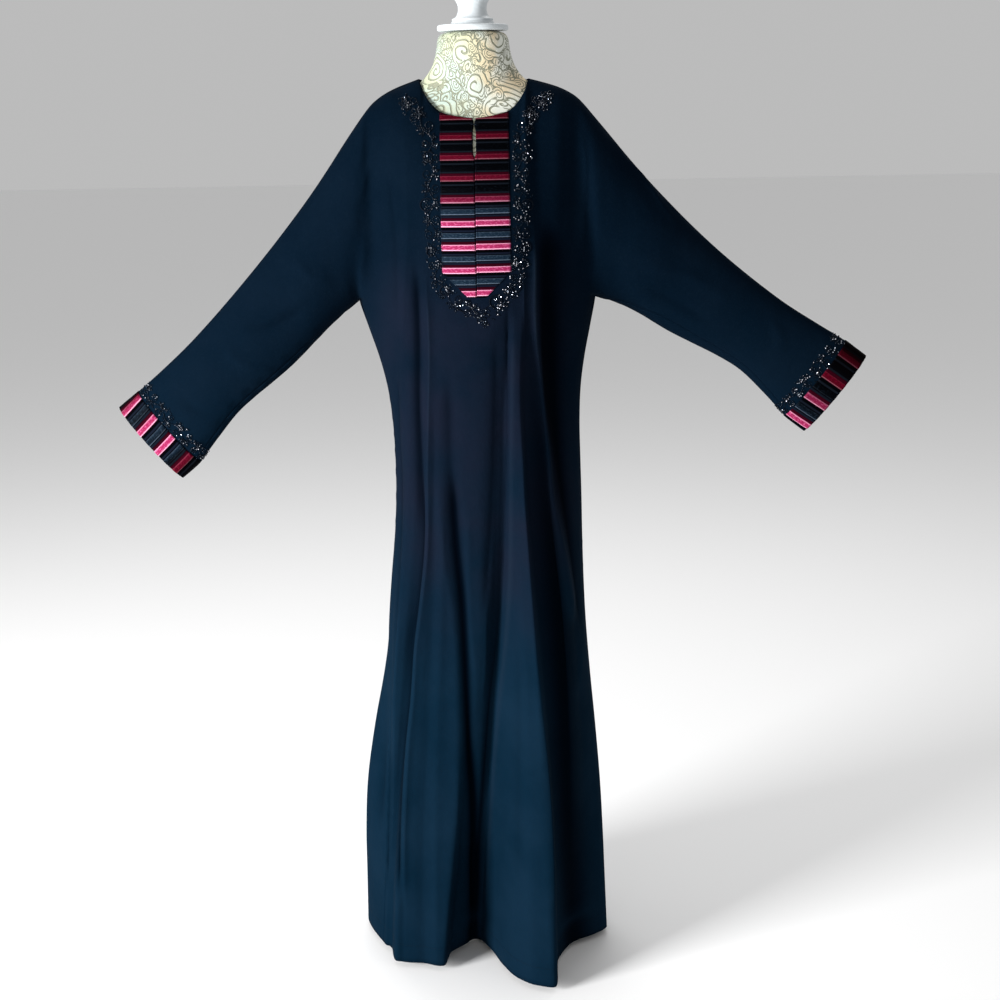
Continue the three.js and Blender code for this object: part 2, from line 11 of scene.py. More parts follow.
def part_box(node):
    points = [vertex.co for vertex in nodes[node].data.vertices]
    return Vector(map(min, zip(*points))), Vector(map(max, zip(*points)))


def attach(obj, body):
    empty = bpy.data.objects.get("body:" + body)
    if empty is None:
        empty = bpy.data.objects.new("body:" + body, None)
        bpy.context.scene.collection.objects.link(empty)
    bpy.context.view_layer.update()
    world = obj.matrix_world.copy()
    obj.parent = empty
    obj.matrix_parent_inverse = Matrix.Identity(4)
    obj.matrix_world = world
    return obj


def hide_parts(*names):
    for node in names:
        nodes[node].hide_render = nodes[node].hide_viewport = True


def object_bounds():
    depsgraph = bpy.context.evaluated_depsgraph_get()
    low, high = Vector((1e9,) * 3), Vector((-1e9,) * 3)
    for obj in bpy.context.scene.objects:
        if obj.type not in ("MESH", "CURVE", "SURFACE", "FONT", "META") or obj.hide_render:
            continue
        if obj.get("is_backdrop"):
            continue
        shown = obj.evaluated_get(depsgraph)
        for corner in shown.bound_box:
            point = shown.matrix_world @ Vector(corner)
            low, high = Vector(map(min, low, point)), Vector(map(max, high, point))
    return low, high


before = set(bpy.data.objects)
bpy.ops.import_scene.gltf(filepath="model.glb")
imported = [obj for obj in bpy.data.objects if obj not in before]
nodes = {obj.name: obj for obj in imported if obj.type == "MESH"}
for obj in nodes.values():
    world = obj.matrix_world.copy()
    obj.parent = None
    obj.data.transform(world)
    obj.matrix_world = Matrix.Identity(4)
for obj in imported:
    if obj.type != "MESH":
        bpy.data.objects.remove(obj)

# A long kaftan of black crepe with striped satin trim and beadwork, worn on a limbless dress form.
# Metres, +Z up, the wearer faces -Y. The garment and the form stand 20 mm forward of the pole.

cad_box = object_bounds()
scene = bpy.context.scene


# ---- the front and the back ----
# Two panels of black crepe, each cut in one with its half of both sleeves. They hang from the
# form's shoulders in soft folds, and seams join them over the arms, under them and at the sides.

SOLID_WALL = 0.0012
CLOTH_THICKNESS = 0.0009
GARMENT_Y = -0.020
UPPER_ROWS = 10
UPPER_STEPS = [2, 4, 4, 5, 5, 5, 5, 5, 5, 3]
SKIRT_STEPS = 9
BODY_STEPS = 5
SLEEVE_STEPS = 8
SLIT_END = 10

# Half the width of the slit in metres, row by row from the neck down.
SLIT_SHAPE = [
    (0, 0.0030), (1, 0.0012), (1.6, 0.0003), (2.6, 0.0004), (3.4, 0.0022), (9, 0.0022), (SLIT_END, 0),
]
SKIRT_TOP = 1.1
SEAM_REACH = 8e-4
WELD = 1e-5
SEAM_EASE = 4
PUCKER_LENGTH, PUCKER_HEIGHT = 0.034, 0.0011
FOLD_HEIGHT = 0.006
CREASE_FADE = 0.08
HEM_TOP, HEM_FADE, HEM_REACH = 0.08, 0.03, 0.05
SHARP_WIDTH = 20
THREAD_LIFT = 0.0001

# The way from one corner of a triangle to the next, in columns and rows.
WALK = [(0, 1), (1, 0), (-1, -1)]


def walk(seed, turn):
    """The (column, row) of every point of a skin of split squares, walked from one triangle."""
    first = seed.loops[turn]
    places = {first.vert: (0, 0)}
    seen = {seed}
    queue = [(first, 0, 1)]
    while queue:
        loop, kind, sign = queue.pop()
        for _ in range(3):
            column, row = places[loop.vert]
            across, down = WALK[kind]
            ahead = loop.link_loop_next
            places.setdefault(ahead.vert, (column + sign * across, row + sign * down))
            other = loop.link_loop_radial_next
            if other.face not in seen:
                seen.add(other.face)
                queue.append((other, kind, -sign))
            loop, kind = ahead, (kind + 1) % 3
    return places


def row_slope(places):
    """How far the rows of the skirt are from level, for one way to walk the skin."""
    rise = [
        abs(vert.co.z - edge.other_vert(vert).co.z)
        for vert, (_, row) in places.items()
        for edge in vert.link_edges
        if vert.co.z < SKIRT_TOP and places.get(edge.other_vert(vert), (0, row + 1))[1] == row
    ]
    return sum(rise) / len(rise)


def skin_columns(node, facing):
    """The outer points of a panel's solid as columns, each from the panel's top edge down."""
    mesh = bmesh.new()
    mesh.from_mesh(node.data)
    bmesh.ops.remove_doubles(mesh, verts=mesh.verts, dist=WELD)
    edge_faces = [
        face for face in mesh.faces
        if any(abs(edge.calc_length() - SOLID_WALL) < 2 * WELD for edge in face.edges)
    ]
    bmesh.ops.delete(mesh, geom=edge_faces, context="FACES")
    seed = max(mesh.faces, key=lambda face: facing * face.calc_center_median().y)
    places = min((walk(seed, turn) for turn in range(3)), key=row_slope)
    heights = np.array([vert.co.z for vert in places])
    rows = np.array([row for _, row in places.values()])
    downward = -np.sign(np.corrcoef(heights, rows)[0, 1])
    points = {}
    for vert, (column, row) in places.items():
        points.setdefault((int(column * downward), int(row * downward)), []).append(vert.co[:])
    mesh.free()
    first = min(column for column, _ in points)
    last = max(column for column, _ in points)
    columns = []
    for column in range(first, last + 1):
        rows = sorted(row for where, row in points if where == column)
        columns.append(np.array([np.mean(points[column, row], axis=0) for row in rows]))
    return columns


def smooth_line(points, steps, corners=()):
    """A smooth line through points, with that many steps in each span, and sharp at the corners."""
    points = np.asarray(points, float)
    spans = np.sqrt(np.linalg.norm(np.diff(points, axis=0), axis=1))[:, None] + 1e-9
    slopes = np.diff(points, axis=0) / spans
    leaving = np.vstack([slopes, slopes[-1:]])
    leaving[1:-1] = (slopes[:-1] * spans[1:] + slopes[1:] * spans[:-1]) / (spans[:-1] + spans[1:])
    arriving = leaving.copy()
    for corner in corners:
        arriving[corner], leaving[corner] = slopes[corner - 1], slopes[corner]
    line = []
    for span, count in enumerate(steps):
        part = (np.arange(count) / count)[:, None]
        start, end = points[span], points[span + 1]
        line.append(
            (2 * part**3 - 3 * part**2 + 1) * start
            + (part**3 - 2 * part**2 + part) * leaving[span] * spans[span]
            + (3 * part**2 - 2 * part**3) * end
            + (part**3 - part**2) * arriving[span + 1] * spans[span]
        )
    return np.vstack([*line, points[-1:]])


def run_lengths(line):
    """How far along a line of points each of them is."""
    return np.concatenate([[0], np.cumsum(np.linalg.norm(np.diff(line, axis=0), axis=1))])


class Panel:
    """A panel's outer surface as a fine grid, with the places of its seams and slit."""

    def __init__(self, node, facing):
        coarse = skin_columns(node, facing)
        body = [index for index, column in enumerate(coarse) if len(column) > UPPER_ROWS + 1]
        seam = [index for index, column in enumerate(coarse) if abs(column[0][1] - GARMENT_Y) < SEAM_REACH]
        neck = next(pair for pair in zip(seam, seam[1:]) if pair[1] > pair[0] + 1)
        across = [
            BODY_STEPS if body[0] <= column < body[-1] else SLEEVE_STEPS
            for column in range(len(coarse) - 1)
        ]
        fine = []
        for column in coarse:
            skirt = len(column) - 1 - UPPER_ROWS
            fine.append(smooth_line(column, UPPER_STEPS + [SKIRT_STEPS] * skirt))
        self.upper = sum(UPPER_STEPS)
        self.starts = np.concatenate([[0], np.cumsum(across)])
        self.body = self.starts[body[0]], self.starts[body[-1]]
        self.neck = self.starts[neck[0]], self.starts[neck[1]]
        count = self.starts[-1] + 1
        self.columns = [[] for _ in range(count)]
        for row in range(len(fine[body[0]])):
            reach = range(len(coarse)) if row <= self.upper else body
            corners = neck if row == 0 else [body[0], body[-1]] if row == self.upper else []
            line = smooth_line(
                [fine[column][row] for column in reach],
                [across[column] for column in reach[:-1]],
                [corner - reach[0] for corner in corners],
            )
            for index, point in enumerate(line):
                self.columns[self.starts[reach[0]] + index].append(point)
        self.slit = self.starts[min(range(*neck), key=lambda index: abs(coarse[index][0][0]))]

    def slit_width(self, row):
        """Half the slit's width at a fine row."""
        return float(np.interp(row, *zip(*SLIT_SHAPE)))

    def mesh(self, name, with_slit):
        """A mesh of the grid, and the (column, row) of each of its points."""
        points, places, index, faces = [], [], {}, []

        def corner(column, row, from_left):
            open_here = with_slit and column == self.slit and row < SLIT_END
            key = column, row, from_left and open_here
            if key not in index:
                index[key] = len(points)
                point = self.columns[column][row].copy()
                if open_here:
                    point[0] += self.slit_width(row) * (-1 if from_left else 1)
                points.append(point)
                places.append((column, row))
            return index[key]

        for column in range(len(self.columns) - 1):
            rows = min(len(self.columns[column]), len(self.columns[column + 1])) - 1
            for row in range(rows):
                faces.append((
                    corner(column, row, False), corner(column, row + 1, False),
                    corner(column + 1, row + 1, True), corner(column + 1, row, True),
                ))
        mesh = bpy.data.meshes.new(name)
        mesh.from_pydata(points, [], faces)
        return mesh, np.array(places)

    def seam_distance(self, places):
        """How far each grid point is from the nearest seam or edge, in grid steps."""
        column, row = places.T
        first, last = self.body
        to_side = np.minimum(column - first, last - column)
        above = self.upper - row
        to_under = np.where(to_side >= 0, np.hypot(np.maximum(0, above), to_side), above)
        return np.minimum(row, to_under)


# Creases, as seen from outside: how wide and how high each is in mm (valleys are negative),
# its crown, 1 for a sharp line and 2 for a soft roll, and where it runs, as (x, z) in mm.
FRONT_CREASES = {
    "front valley": (3.0, -4.6, 0.8, [
        (49, 1175), (45, 1041), (40, 883), (32, 720), (22, 593), (9, 486), (1, 396), (-6, 302),
        (-13, 203), (-20, 99), (-24, 14),
    ]),
    "beside the valley": (10, 4.4, 1.6, [
        (58, 1150), (54, 1041), (50, 885), (47, 723), (38, 598), (25, 486), (16, 396), (8, 302),
        (1, 203), (-7, 99), (-9, 30),
    ]),
    "crest edge": (6, 2.8, 1.0, [
        (73, 1248), (72, 1061), (68, 872), (75, 741), (83, 608), (88, 500), (92, 338), (97, 200),
        (104, 100), (107, 16),
    ]),
    "side fall": (31, -12.0, 1.8, [
        (116, 1300), (114, 1061), (112, 872), (117, 741), (125, 608), (132, 500), (139, 338),
        (147, 200), (155, 16),
    ]),
    "second ridge": (8, 10.0, 1.3, [
        (92, 1290), (91, 1107), (98, 1034), (112, 912), (118, 831), (132, 754), (147, 656), (156, 590),
    ]),
    "second valley": (7, -5.0, 1.1, [
        (116, 1190), (123, 1030), (132, 906), (141, 821), (153, 716), (168, 570),
    ]),
    "left fold edge": (6, 4.6, 1.0, [
        (-80, 1215), (-76, 1100), (-79, 998), (-84, 890), (-88, 760), (-99, 668), (-111, 583),
        (-119, 495), (-130, 406), (-141, 260), (-146, 100),
    ]),
    "left of the fold": (7, -7.2, 1.3, [
        (-97, 1240), (-98, 1100), (-102, 995), (-101, 880), (-100, 760), (-111, 668), (-124, 583),
        (-131, 495), (-142, 406), (-153, 260), (-157, 120),
    ]),
    "left chest crease": (5, -2.4, 1.0, [(-124, 1386), (-133, 1326), (-129, 1249), (-131, 1100)]),
    "left side line": (3.5, -3.6, 0.9, [
        (-132, 1060), (-134, 965), (-134, 831), (-139, 735), (-151, 590), (-162, 455), (-171, 320),
        (-181, 100),
    ]),
    "left chest ridge": (7, 2.6, 1.4, [
        (-110, 1330), (-105, 1285), (-116, 1156), (-125, 924), (-125, 857),
    ]),
    "left arm fold": (5, 2.4, 1.2, [(-148, 1410), (-158, 1380), (-171, 1347), (-187, 1299)]),
    "left arm roll": (9, 2.6, 1.7, [(-190, 1156), (-181, 1216), (-171, 1273)]),
    "centre left valley": (11, -4.0, 1.5, [
        (-46, 1060), (-49, 997), (-49, 831), (-43, 740), (-35, 663), (-30, 486), (-24, 300),
        (-27, 100), (-32, 16),
    ]),
    "centre left shade": (8, -5.4, 1.3, [
        (-48, 900), (-43, 780), (-35, 668), (-32, 583), (-29, 495), (-26, 406), (-21, 310), (-21, 209),
        (-22, 60),
    ]),
    "centre ridge": (6, 2.0, 1.4, [(14, 700), (4, 640), (1, 560), (-6, 470)]),
    "centre left ridge": (8, 2.0, 1.5, [
        (-72, 900), (-62, 740), (-46, 600), (-47, 486), (-51, 300), (-56, 100),
    ]),
    "skirt roll": (7, 1.9, 1.6, [(-60, 900), (-66, 700), (-78, 480), (-88, 260), (-92, 16)]),
    "skirt dip": (6, -1.9, 1.5, [(-72, 1000), (-80, 760), (-96, 500), (-112, 250), (-118, 16)]),
    "waist roll": (6, 1.7, 1.5, [(-20, 840), (-23, 650), (-14, 510)]),
    "waist dip": (7, -1.9, 1.6, [(30, 1130), (24, 960), (16, 800), (3, 650)]),
    "lit roll": (9, 1.9, 1.8, [(66, 700), (66, 560), (70, 380), (72, 200), (70, 16)]),
    "lit dip": (8, -1.7, 1.7, [(54, 640), (54, 480), (50, 320), (48, 160)]),
    "lit dip, low": (6, -1.5, 1.6, [(92, 440), (94, 300), (93, 150)]),
    "left edge roll": (6, 2.4, 1.4, [(-140, 640), (-157, 480), (-179, 300), (-188, 110)]),
    "left hem roll": (7, -2.2, 1.5, [(-140, 200), (-150, 110), (-154, 16)]),
    "centre foot": (9, -3.0, 1.5, [(-20, 260), (-24, 124), (-30, 16)]),
    "right shoulder ridge": (6, 3.0, 1.2, [
        (158, 1425), (168, 1395), (174, 1359), (171, 1288), (169, 1209),
    ]),
    "right shoulder valley": (7, -3.4, 1.2, [(168, 1330), (174, 1298), (181, 1225), (187, 1151)]),
    "right shoulder edge": (3, 4.5, 1.0, [
        (206, 1398), (232, 1374), (262, 1342), (300, 1290), (330, 1252),
    ]),
    "right pucker": (5, 2.0, 1.1, [(170, 570), (164, 513), (157, 460)]),
    "left sleeve, upper": (9, 2.4, 1.5, [(-300, 1230), (-262, 1190), (-215, 1185)]),
    "left sleeve, drag": (10, -2.6, 1.5, [(-390, 1120), (-345, 1110), (-300, 1130), (-250, 1165)]),
    "left sleeve, elbow": (8, 2.2, 1.4, [(-420, 1090), (-385, 1050), (-340, 1040)]),
    "left sleeve, wrist": (8, -1.8, 1.5, [(-500, 1010), (-470, 975), (-430, 960)]),
    "right sleeve, under": (9, -2.4, 1.4, [(228, 1173), (293, 1150), (359, 1112), (410, 1085)]),
    "right sleeve, roll": (12, 2.4, 1.7, [(240, 1220), (300, 1190), (350, 1175), (420, 1130)]),
    "right sleeve, nick": (4, -2.0, 1.0, [(398, 1064), (408, 1054), (420, 1042)]),
    "right sleeve, wrist": (8, 1.8, 1.5, [(470, 1110), (490, 1075), (480, 1040)]),
}
BACK_CREASES = {
    "yoke drag, left": (9, 2.4, 1.5, [(-130, 1440), (-100, 1330), (-84, 1210)]),
    "yoke drag, right": (10, 2.2, 1.5, [(128, 1445), (104, 1340), (90, 1230)]),
    "back valley, left": (9, -3.6, 1.2, [
        (-14, 1150), (-15, 980), (-16, 800), (-18, 560), (-22, 300), (-24, 20),
    ]),
    "back valley, right": (9, -3.2, 1.2, [
        (14, 1090), (14, 900), (17, 700), (22, 450), (24, 200), (26, 20),
    ]),
    "back ridge, left": (8, 3.2, 1.2, [
        (-70, 1200), (-66, 980), (-72, 760), (-92, 520), (-116, 260), (-134, 20),
    ]),
    "back ridge, right": (8, 3.0, 1.3, [
        (66, 1160), (62, 960), (70, 760), (88, 500), (104, 260), (116, 20),
    ]),
    "side drag, left": (8, -3.0, 1.2, [(-118, 1120), (-112, 960), (-126, 740), (-160, 480), (-196, 200)]),
    "side drag, right": (8, -2.8, 1.3, [(122, 1100), (124, 900), (132, 720), (150, 480), (166, 200)]),
    "left sleeve, drag": (10, 2.4, 1.6, [(-400, 1110), (-345, 1120), (-290, 1150), (-230, 1190)]),
    "left sleeve, elbow": (8, -2.2, 1.4, [(-430, 1080), (-385, 1060), (-330, 1070)]),
    "right sleeve, drag": (10, 2.4, 1.6, [(410, 1120), (350, 1140), (290, 1180), (230, 1225)]),
    "right sleeve, elbow": (8, -2.2, 1.4, [(430, 1110), (380, 1100), (330, 1120)]),
}


def crease_height(creases, points):
    """The height of all the creases at points, and again with the broad ones lower, in metres; the second
    sets the crepe's painted shade and painted highlight.
    """
    height = np.zeros(len(points))
    sharp = np.zeros(len(points))
    flat = points[:, [0, 2]]
    for width, rise, crown, line in creases.values():
        line = smooth_line(np.array(line) / 1000, [6] * (len(line) - 1))
        lengths = run_lengths(line)
        nearest = np.full(len(points), np.inf)
        along = np.zeros(len(points))
        for start, end, before in zip(line, line[1:], lengths):
            span = end - start
            part = np.clip((flat - start) @ span / (span @ span), 0, 1)
            away = np.linalg.norm(flat - start - part[:, None] * span, axis=1)
            closer = away < nearest
            nearest[closer] = away[closer]
            along[closer] = before + part[closer] * np.linalg.norm(span)
        fade_length = min(CREASE_FADE, lengths[-1] / 2.5)
        fade = np.clip(np.minimum(along, lengths[-1] - along) / fade_length, 0, 1)
        at_hem = np.clip((HEM_TOP - flat[:, 1]) / HEM_FADE, 0, 1)
        fade = np.maximum(fade * fade * (3 - 2 * fade), at_hem * (line[-1][1] < HEM_REACH))
        rolled = rise / 1000 * fade * np.exp(-((nearest / (width / 1000)) ** crown))
        height += rolled
        sharp += rolled * min(1, SHARP_WIDTH / width)
    return np.array([height, sharp])


def placed(name, data):
    """An object in the scene with that mesh, curve, camera or light."""
    piece = bpy.data.objects.new(name, data)
    scene.collection.objects.link(piece)
    return piece


def sewn_panel(name, facing, creases, with_slit):
    """A panel with its creases, puckered along its seams, as an object of one layer."""
    panel = Panel(nodes[name], facing)
    mesh, places = panel.mesh(name + "_crepe", with_slit)
    points = np.array([vertex.co[:] for vertex in mesh.vertices])
    normals = np.array([normal.vector[:] for normal in mesh.vertex_normals])
    seam = panel.seam_distance(places)
    height, fold = crease_height(creases, points) * np.clip(seam / SEAM_EASE, 0, 1)
    along = points[:, 2] + 0.4 * points[:, 0]
    wave = np.sin(along * 2 * math.pi / PUCKER_LENGTH + 2.2 * np.sin(along * 21))
    wave *= 0.5 + 0.5 * np.sin(along * 9.7)
    height += PUCKER_HEIGHT * wave * np.exp(-(((seam - 1.6) / 1.3) ** 2)) * (seam > 0)
    points += normals * height[:, None]
    mesh.vertices.foreach_set("co", points.ravel())
    # The fold attribute carries the crease heights for the crepe's painted shade and painted highlight.
    mesh.attributes.new("fold", "FLOAT", "POINT").data.foreach_set("value", fold / FOLD_HEIGHT)
    mesh.update()
    panel.laid = dict(zip(map(tuple, places.tolist()), points + normals * THREAD_LIFT))
    return placed(name + "_crepe", mesh), panel


front, front_panel = sewn_panel("front", -1, FRONT_CREASES, True)
back, back_panel = sewn_panel("back", 1, BACK_CREASES, False)


class Signal:
    """A shader socket that can be used in sums."""

    def __init__(self, finish, socket):
        self.finish, self.socket = finish, socket

    def math(self, operation, first, second=0.0):
        return self.finish.node("ShaderNodeMath", {"operation": operation}, {0: first, 1: second})

    def __add__(self, other):
        return self.math("ADD", self, other)

    def __sub__(self, other):
        return self.math("SUBTRACT", self, other)

    def __rsub__(self, other):
        return self.math("SUBTRACT", other, self)

    def __mul__(self, other):
        return self.math("MULTIPLY", self, other)

    def __abs__(self):
        return self.math("ABSOLUTE", self)

    def __mod__(self, other):
        return self.math("FLOORED_MODULO", self, other)

    def sine(self):
        return self.math("SINE", self)

    def axis(self, name):
        """The place along one axis."""
        return self.finish.node("ShaderNodeSeparateXYZ", None, {0: self}, name)

    def step(self, low, high):
        """0 below low, 1 above high, and smooth between them."""
        values = {"Value": self, "From Min": low, "From Max": high}
        return self.finish.node("ShaderNodeMapRange", {"interpolation_type": "SMOOTHSTEP"}, values)

    __radd__ = __add__
    __rmul__ = __mul__


class Finish:
    """A material and the nodes that make it."""

    def __init__(self, name, **constants):
        self.material = bpy.data.materials.new(name)
        self.material.use_nodes = True
        self.tree = self.material.node_tree
        self.shader = self.tree.nodes["Principled BSDF"]
        for socket, value in constants.items():
            self.shader.inputs[socket.replace("_", " ")].default_value = value

    def node(self, kind, settings=None, inputs=None, output=0):
        """A new node's output. Settings are set before its sockets."""
        made = self.tree.nodes.new(kind)
        for name, value in (settings or {}).items():
            setattr(made, name, value)
        for name, value in (inputs or {}).items():
            if isinstance(value, Signal):
                self.tree.links.new(value.socket, made.inputs[name])
            else:
                made.inputs[name].default_value = value
        return Signal(self, made.outputs[output])

    def mix(self, factor, first, second):
        """One colour or the other, by factor."""
        return self.node("ShaderNodeMix", {"data_type": "RGBA"}, {0: factor, 6: first, 7: second}, 2)

    def place(self, kind="Object"):
        """Where each point is, on the object or on its UV map."""
        return self.node("ShaderNodeTexCoord", output=kind)

    def noise(self, place, scale, detail=3.0, roughness=0.55):
        """Noise from 0 to 1."""
        inputs = {"Vector": place, "Scale": scale, "Detail": detail, "Roughness": roughness}
        return self.node("ShaderNodeTexNoise", None, inputs)

    def stretched(self, place, x, y, z, turn=(0.0, 0.0, 0.0)):
        """The place, turned and then scaled along each axis."""
        inputs = {"Vector": place, "Rotation": turn, "Scale": (x, y, z)}
        return self.node("ShaderNodeMapping", None, inputs)

    def relief(self, height, depth, under=None):
        """A normal raised by height, in metres where height is 1."""
        inputs = {"Height": height, "Distance": depth, "Strength": 1.0}
        if under:
            inputs["Normal"] = under
        return self.node("ShaderNodeBump", None, inputs)

    def wear(self, **links):
        """Links these signals to the shader's sockets."""
        for socket, signal in links.items():
            self.tree.links.new(signal.socket, self.shader.inputs[socket.replace("_", " ")])
        return self.material


def black_crepe():
    """Matt black crepe with a navy cast: a pebbled grain, softer and with painted shade down in the folds,
    and a painted highlight along their crests.
    """
    cloth = Finish("black_crepe", Specular_IOR_Level=0.006, Specular_Tint=(0.3, 0.6, 1.0, 1))
    place = cloth.place()
    height = place.axis("Z")
    fold = cloth.node("ShaderNodeAttribute", {"attribute_name": "fold"}, output="Fac")
    pebble = cloth.noise(place, 700, 2.0)
    twist = cloth.noise(cloth.stretched(place, 1, 1, 0.3), 1500, 1.0)
    cloud = cloth.noise(place, 7, 4.0)
    low = cloth.mix(cloud.step(0.3, 0.7), (0.0014, 0.0088, 0.0188, 1), (0.0030, 0.0122, 0.0250, 1))
    high = cloth.mix(cloud.step(0.3, 0.7), (0.0010, 0.0042, 0.0096, 1), (0.0018, 0.0056, 0.0120, 1))
    colour = cloth.mix((height + cloud * 0.3).step(0.6, 1.35), low, high)
    beside = abs(place.axis("X"))
    violet = height.step(0.5, 0.8) * height.step(1.3, 1.1) * cloth.noise(place, 7, 3.0).step(0.2, 0.8)
    colour = cloth.mix(violet * beside.step(0.2, 0.1) * 0.9, colour, (0.0060, 0.0074, 0.0155, 1))
    colour = cloth.mix(pebble.step(0.5, 0.75) * 0.6, colour, (0.0042, 0.0100, 0.0180, 1))
    # Painted highlight: a lighter colour along the crests of the folds.
    colour = cloth.mix(fold.step(0.4, 1.0) * 0.4, colour, (0.0110, 0.0190, 0.0320, 1))
    # Painted shade: near black down in the valleys of the folds.
    colour = cloth.mix(fold.step(0.1, -1.5) * 0.92, colour, (0.0001, 0.0006, 0.0018, 1))
    grain = cloth.relief(pebble + twist * 0.6, 0.00022)
    soft = cloth.relief(cloth.noise(place, 45, 3.0), 0.0012, grain)
    return cloth.wear(Base_Color=colour, Roughness=0.7 + pebble * 0.2, Normal=soft)


crepe = black_crepe()


def plain_mesh(piece):
    """A new mesh of an object as its modifiers leave it."""
    return bpy.data.meshes.new_from_object(piece.evaluated_get(bpy.context.evaluated_depsgraph_get()))


def add_wall(piece, thickness):
    """Gives a sheet its thickness, inwards, and makes it a plain mesh."""
    wall = piece.modifiers.new("wall", "SOLIDIFY")
    wall.thickness, wall.offset, wall.use_even_offset = thickness, -1, False
    walled = plain_mesh(piece)
    piece.modifiers.clear()
    piece.data = walled


def finish_piece(piece, material, smooth=True):
    """Gives a finished piece its material, smooth or flat faces, and its body."""
    piece.data.materials.clear()
    piece.data.materials.append(material)
    piece.data.polygons.foreach_set("use_smooth", [smooth] * len(piece.data.polygons))
    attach(piece, "root")


add_wall(front, CLOTH_THICKNESS)
add_wall(back, CLOTH_THICKNESS)
for panel_piece, node_name in ((front, "front"), (back, "back")):
    finish_piece(panel_piece, crepe)
    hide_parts(node_name)


# ---- the striped bib ----
# Two long halves of striped satin on each side of the neck slit, cut to a point at the bottom.
# Crimson and slate ribbons are sewn across a black ground, with fine grey cords between them.

RED_HEIGHTS = [1.434, 1.404, 1.374, 1.343, 1.311, 1.275, 1.239, 1.204, 1.168]
RED_HALF, SLATE_HALF, CORD_HALF = 0.13, 0.125, 0.05
CORD_PLACE = 0.30
BIB_HALF_WIDTH = 0.0534
BIB_CHAMFER = 0.040
BIB_TOP, BIB_BOTTOM = 1.447, 1.161
BIB_COLUMNS, BIB_ROWS = 30, 270
BIB_SHIFT = 0.02
TOP_REPEAT, BOTTOM_REPEAT = 0.030, 0.036
SLIT_MARGIN, NECK_MARGIN = 0.0003, 0.0012

# Painted light on the ribbons of the bib down it, dark crimson in painted shade above and rose pink in
# painted sheen below: (repeat, painted light).
BIB_PAINTED_LIGHT = [(0, 0), (3.4, 0.05), (4, 0.2), (4.3, 0.55), (4.8, 0.9), (5.2, 1)]
TRIM_THICKNESS = 0.0004
STRIPE_BLUR = 0.008
RIBBON_RISE = 0.0010
GROUND_RISE = 0.0005
LAY = 0.0003


def ribbon_rise(repeat):
    """How far the stripes stand out at a place in the repeat, counted from a crimson ribbon."""
    part = np.abs((repeat + 0.5) % 1 - 0.5)
    red = np.clip(1 - (part / RED_HALF) ** 6, 0, 1) ** 0.5
    slate = np.clip(1 - ((0.5 - part) / SLATE_HALF) ** 6, 0, 1) ** 0.5
    cord = np.clip(1 - ((part - CORD_PLACE) / CORD_HALF) ** 2, 0, 1) ** 0.5
    return GROUND_RISE + RIBBON_RISE * np.maximum(np.maximum(red, 0.85 * slate), 0.5 * cord)


def grid_normals(grid):
    """The normal at each point of a grid of points, rows down and columns across."""
    across, down = np.gradient(grid, axis=0), np.gradient(grid, axis=1)
    normals = np.cross(down, across)
    return normals / np.maximum(np.linalg.norm(normals, axis=2, keepdims=True), 1e-12)


def striped_sheet(name, grid, normals, repeat, painted_light, lengthways, rise, closed=False):
    """A striped sheet on a grid of points, with its relief, its thickness and its stripe map."""
    columns, rows = grid.shape[:2]
    raised = grid + normals * (LAY + rise)[:, :, None]
    faces = [
        (c * rows + r, c * rows + r + 1, (c + 1) % columns * rows + r + 1, (c + 1) % columns * rows + r)
        for c in range(columns if closed else columns - 1) for r in range(rows - 1)
    ]
    mesh = bpy.data.meshes.new(name)
    mesh.from_pydata(raised.reshape(-1, 3), [], faces)
    stripes = mesh.uv_layers.new(name="stripes")
    places = np.stack([repeat.ravel(), lengthways.ravel()], axis=1)
    corners = np.zeros(len(mesh.loops), int)
    mesh.loops.foreach_get("vertex_index", corners)
    stripes.data.foreach_set("uv", places[corners].ravel())
    # The painted light attribute carries the satin's painted sheen and painted shade.
    mesh.attributes.new("painted_light", "FLOAT", "POINT").data.foreach_set("value", painted_light.ravel())
    work = bmesh.new()
    work.from_mesh(mesh)
    bmesh.ops.remove_doubles(work, verts=work.verts, dist=2 * WELD)
    bmesh.ops.dissolve_degenerate(work, edges=work.edges, dist=1e-6)
    work.to_mesh(mesh)
    work.free()
    piece = placed(name, mesh)
    add_wall(piece, TRIM_THICKNESS)
    return piece


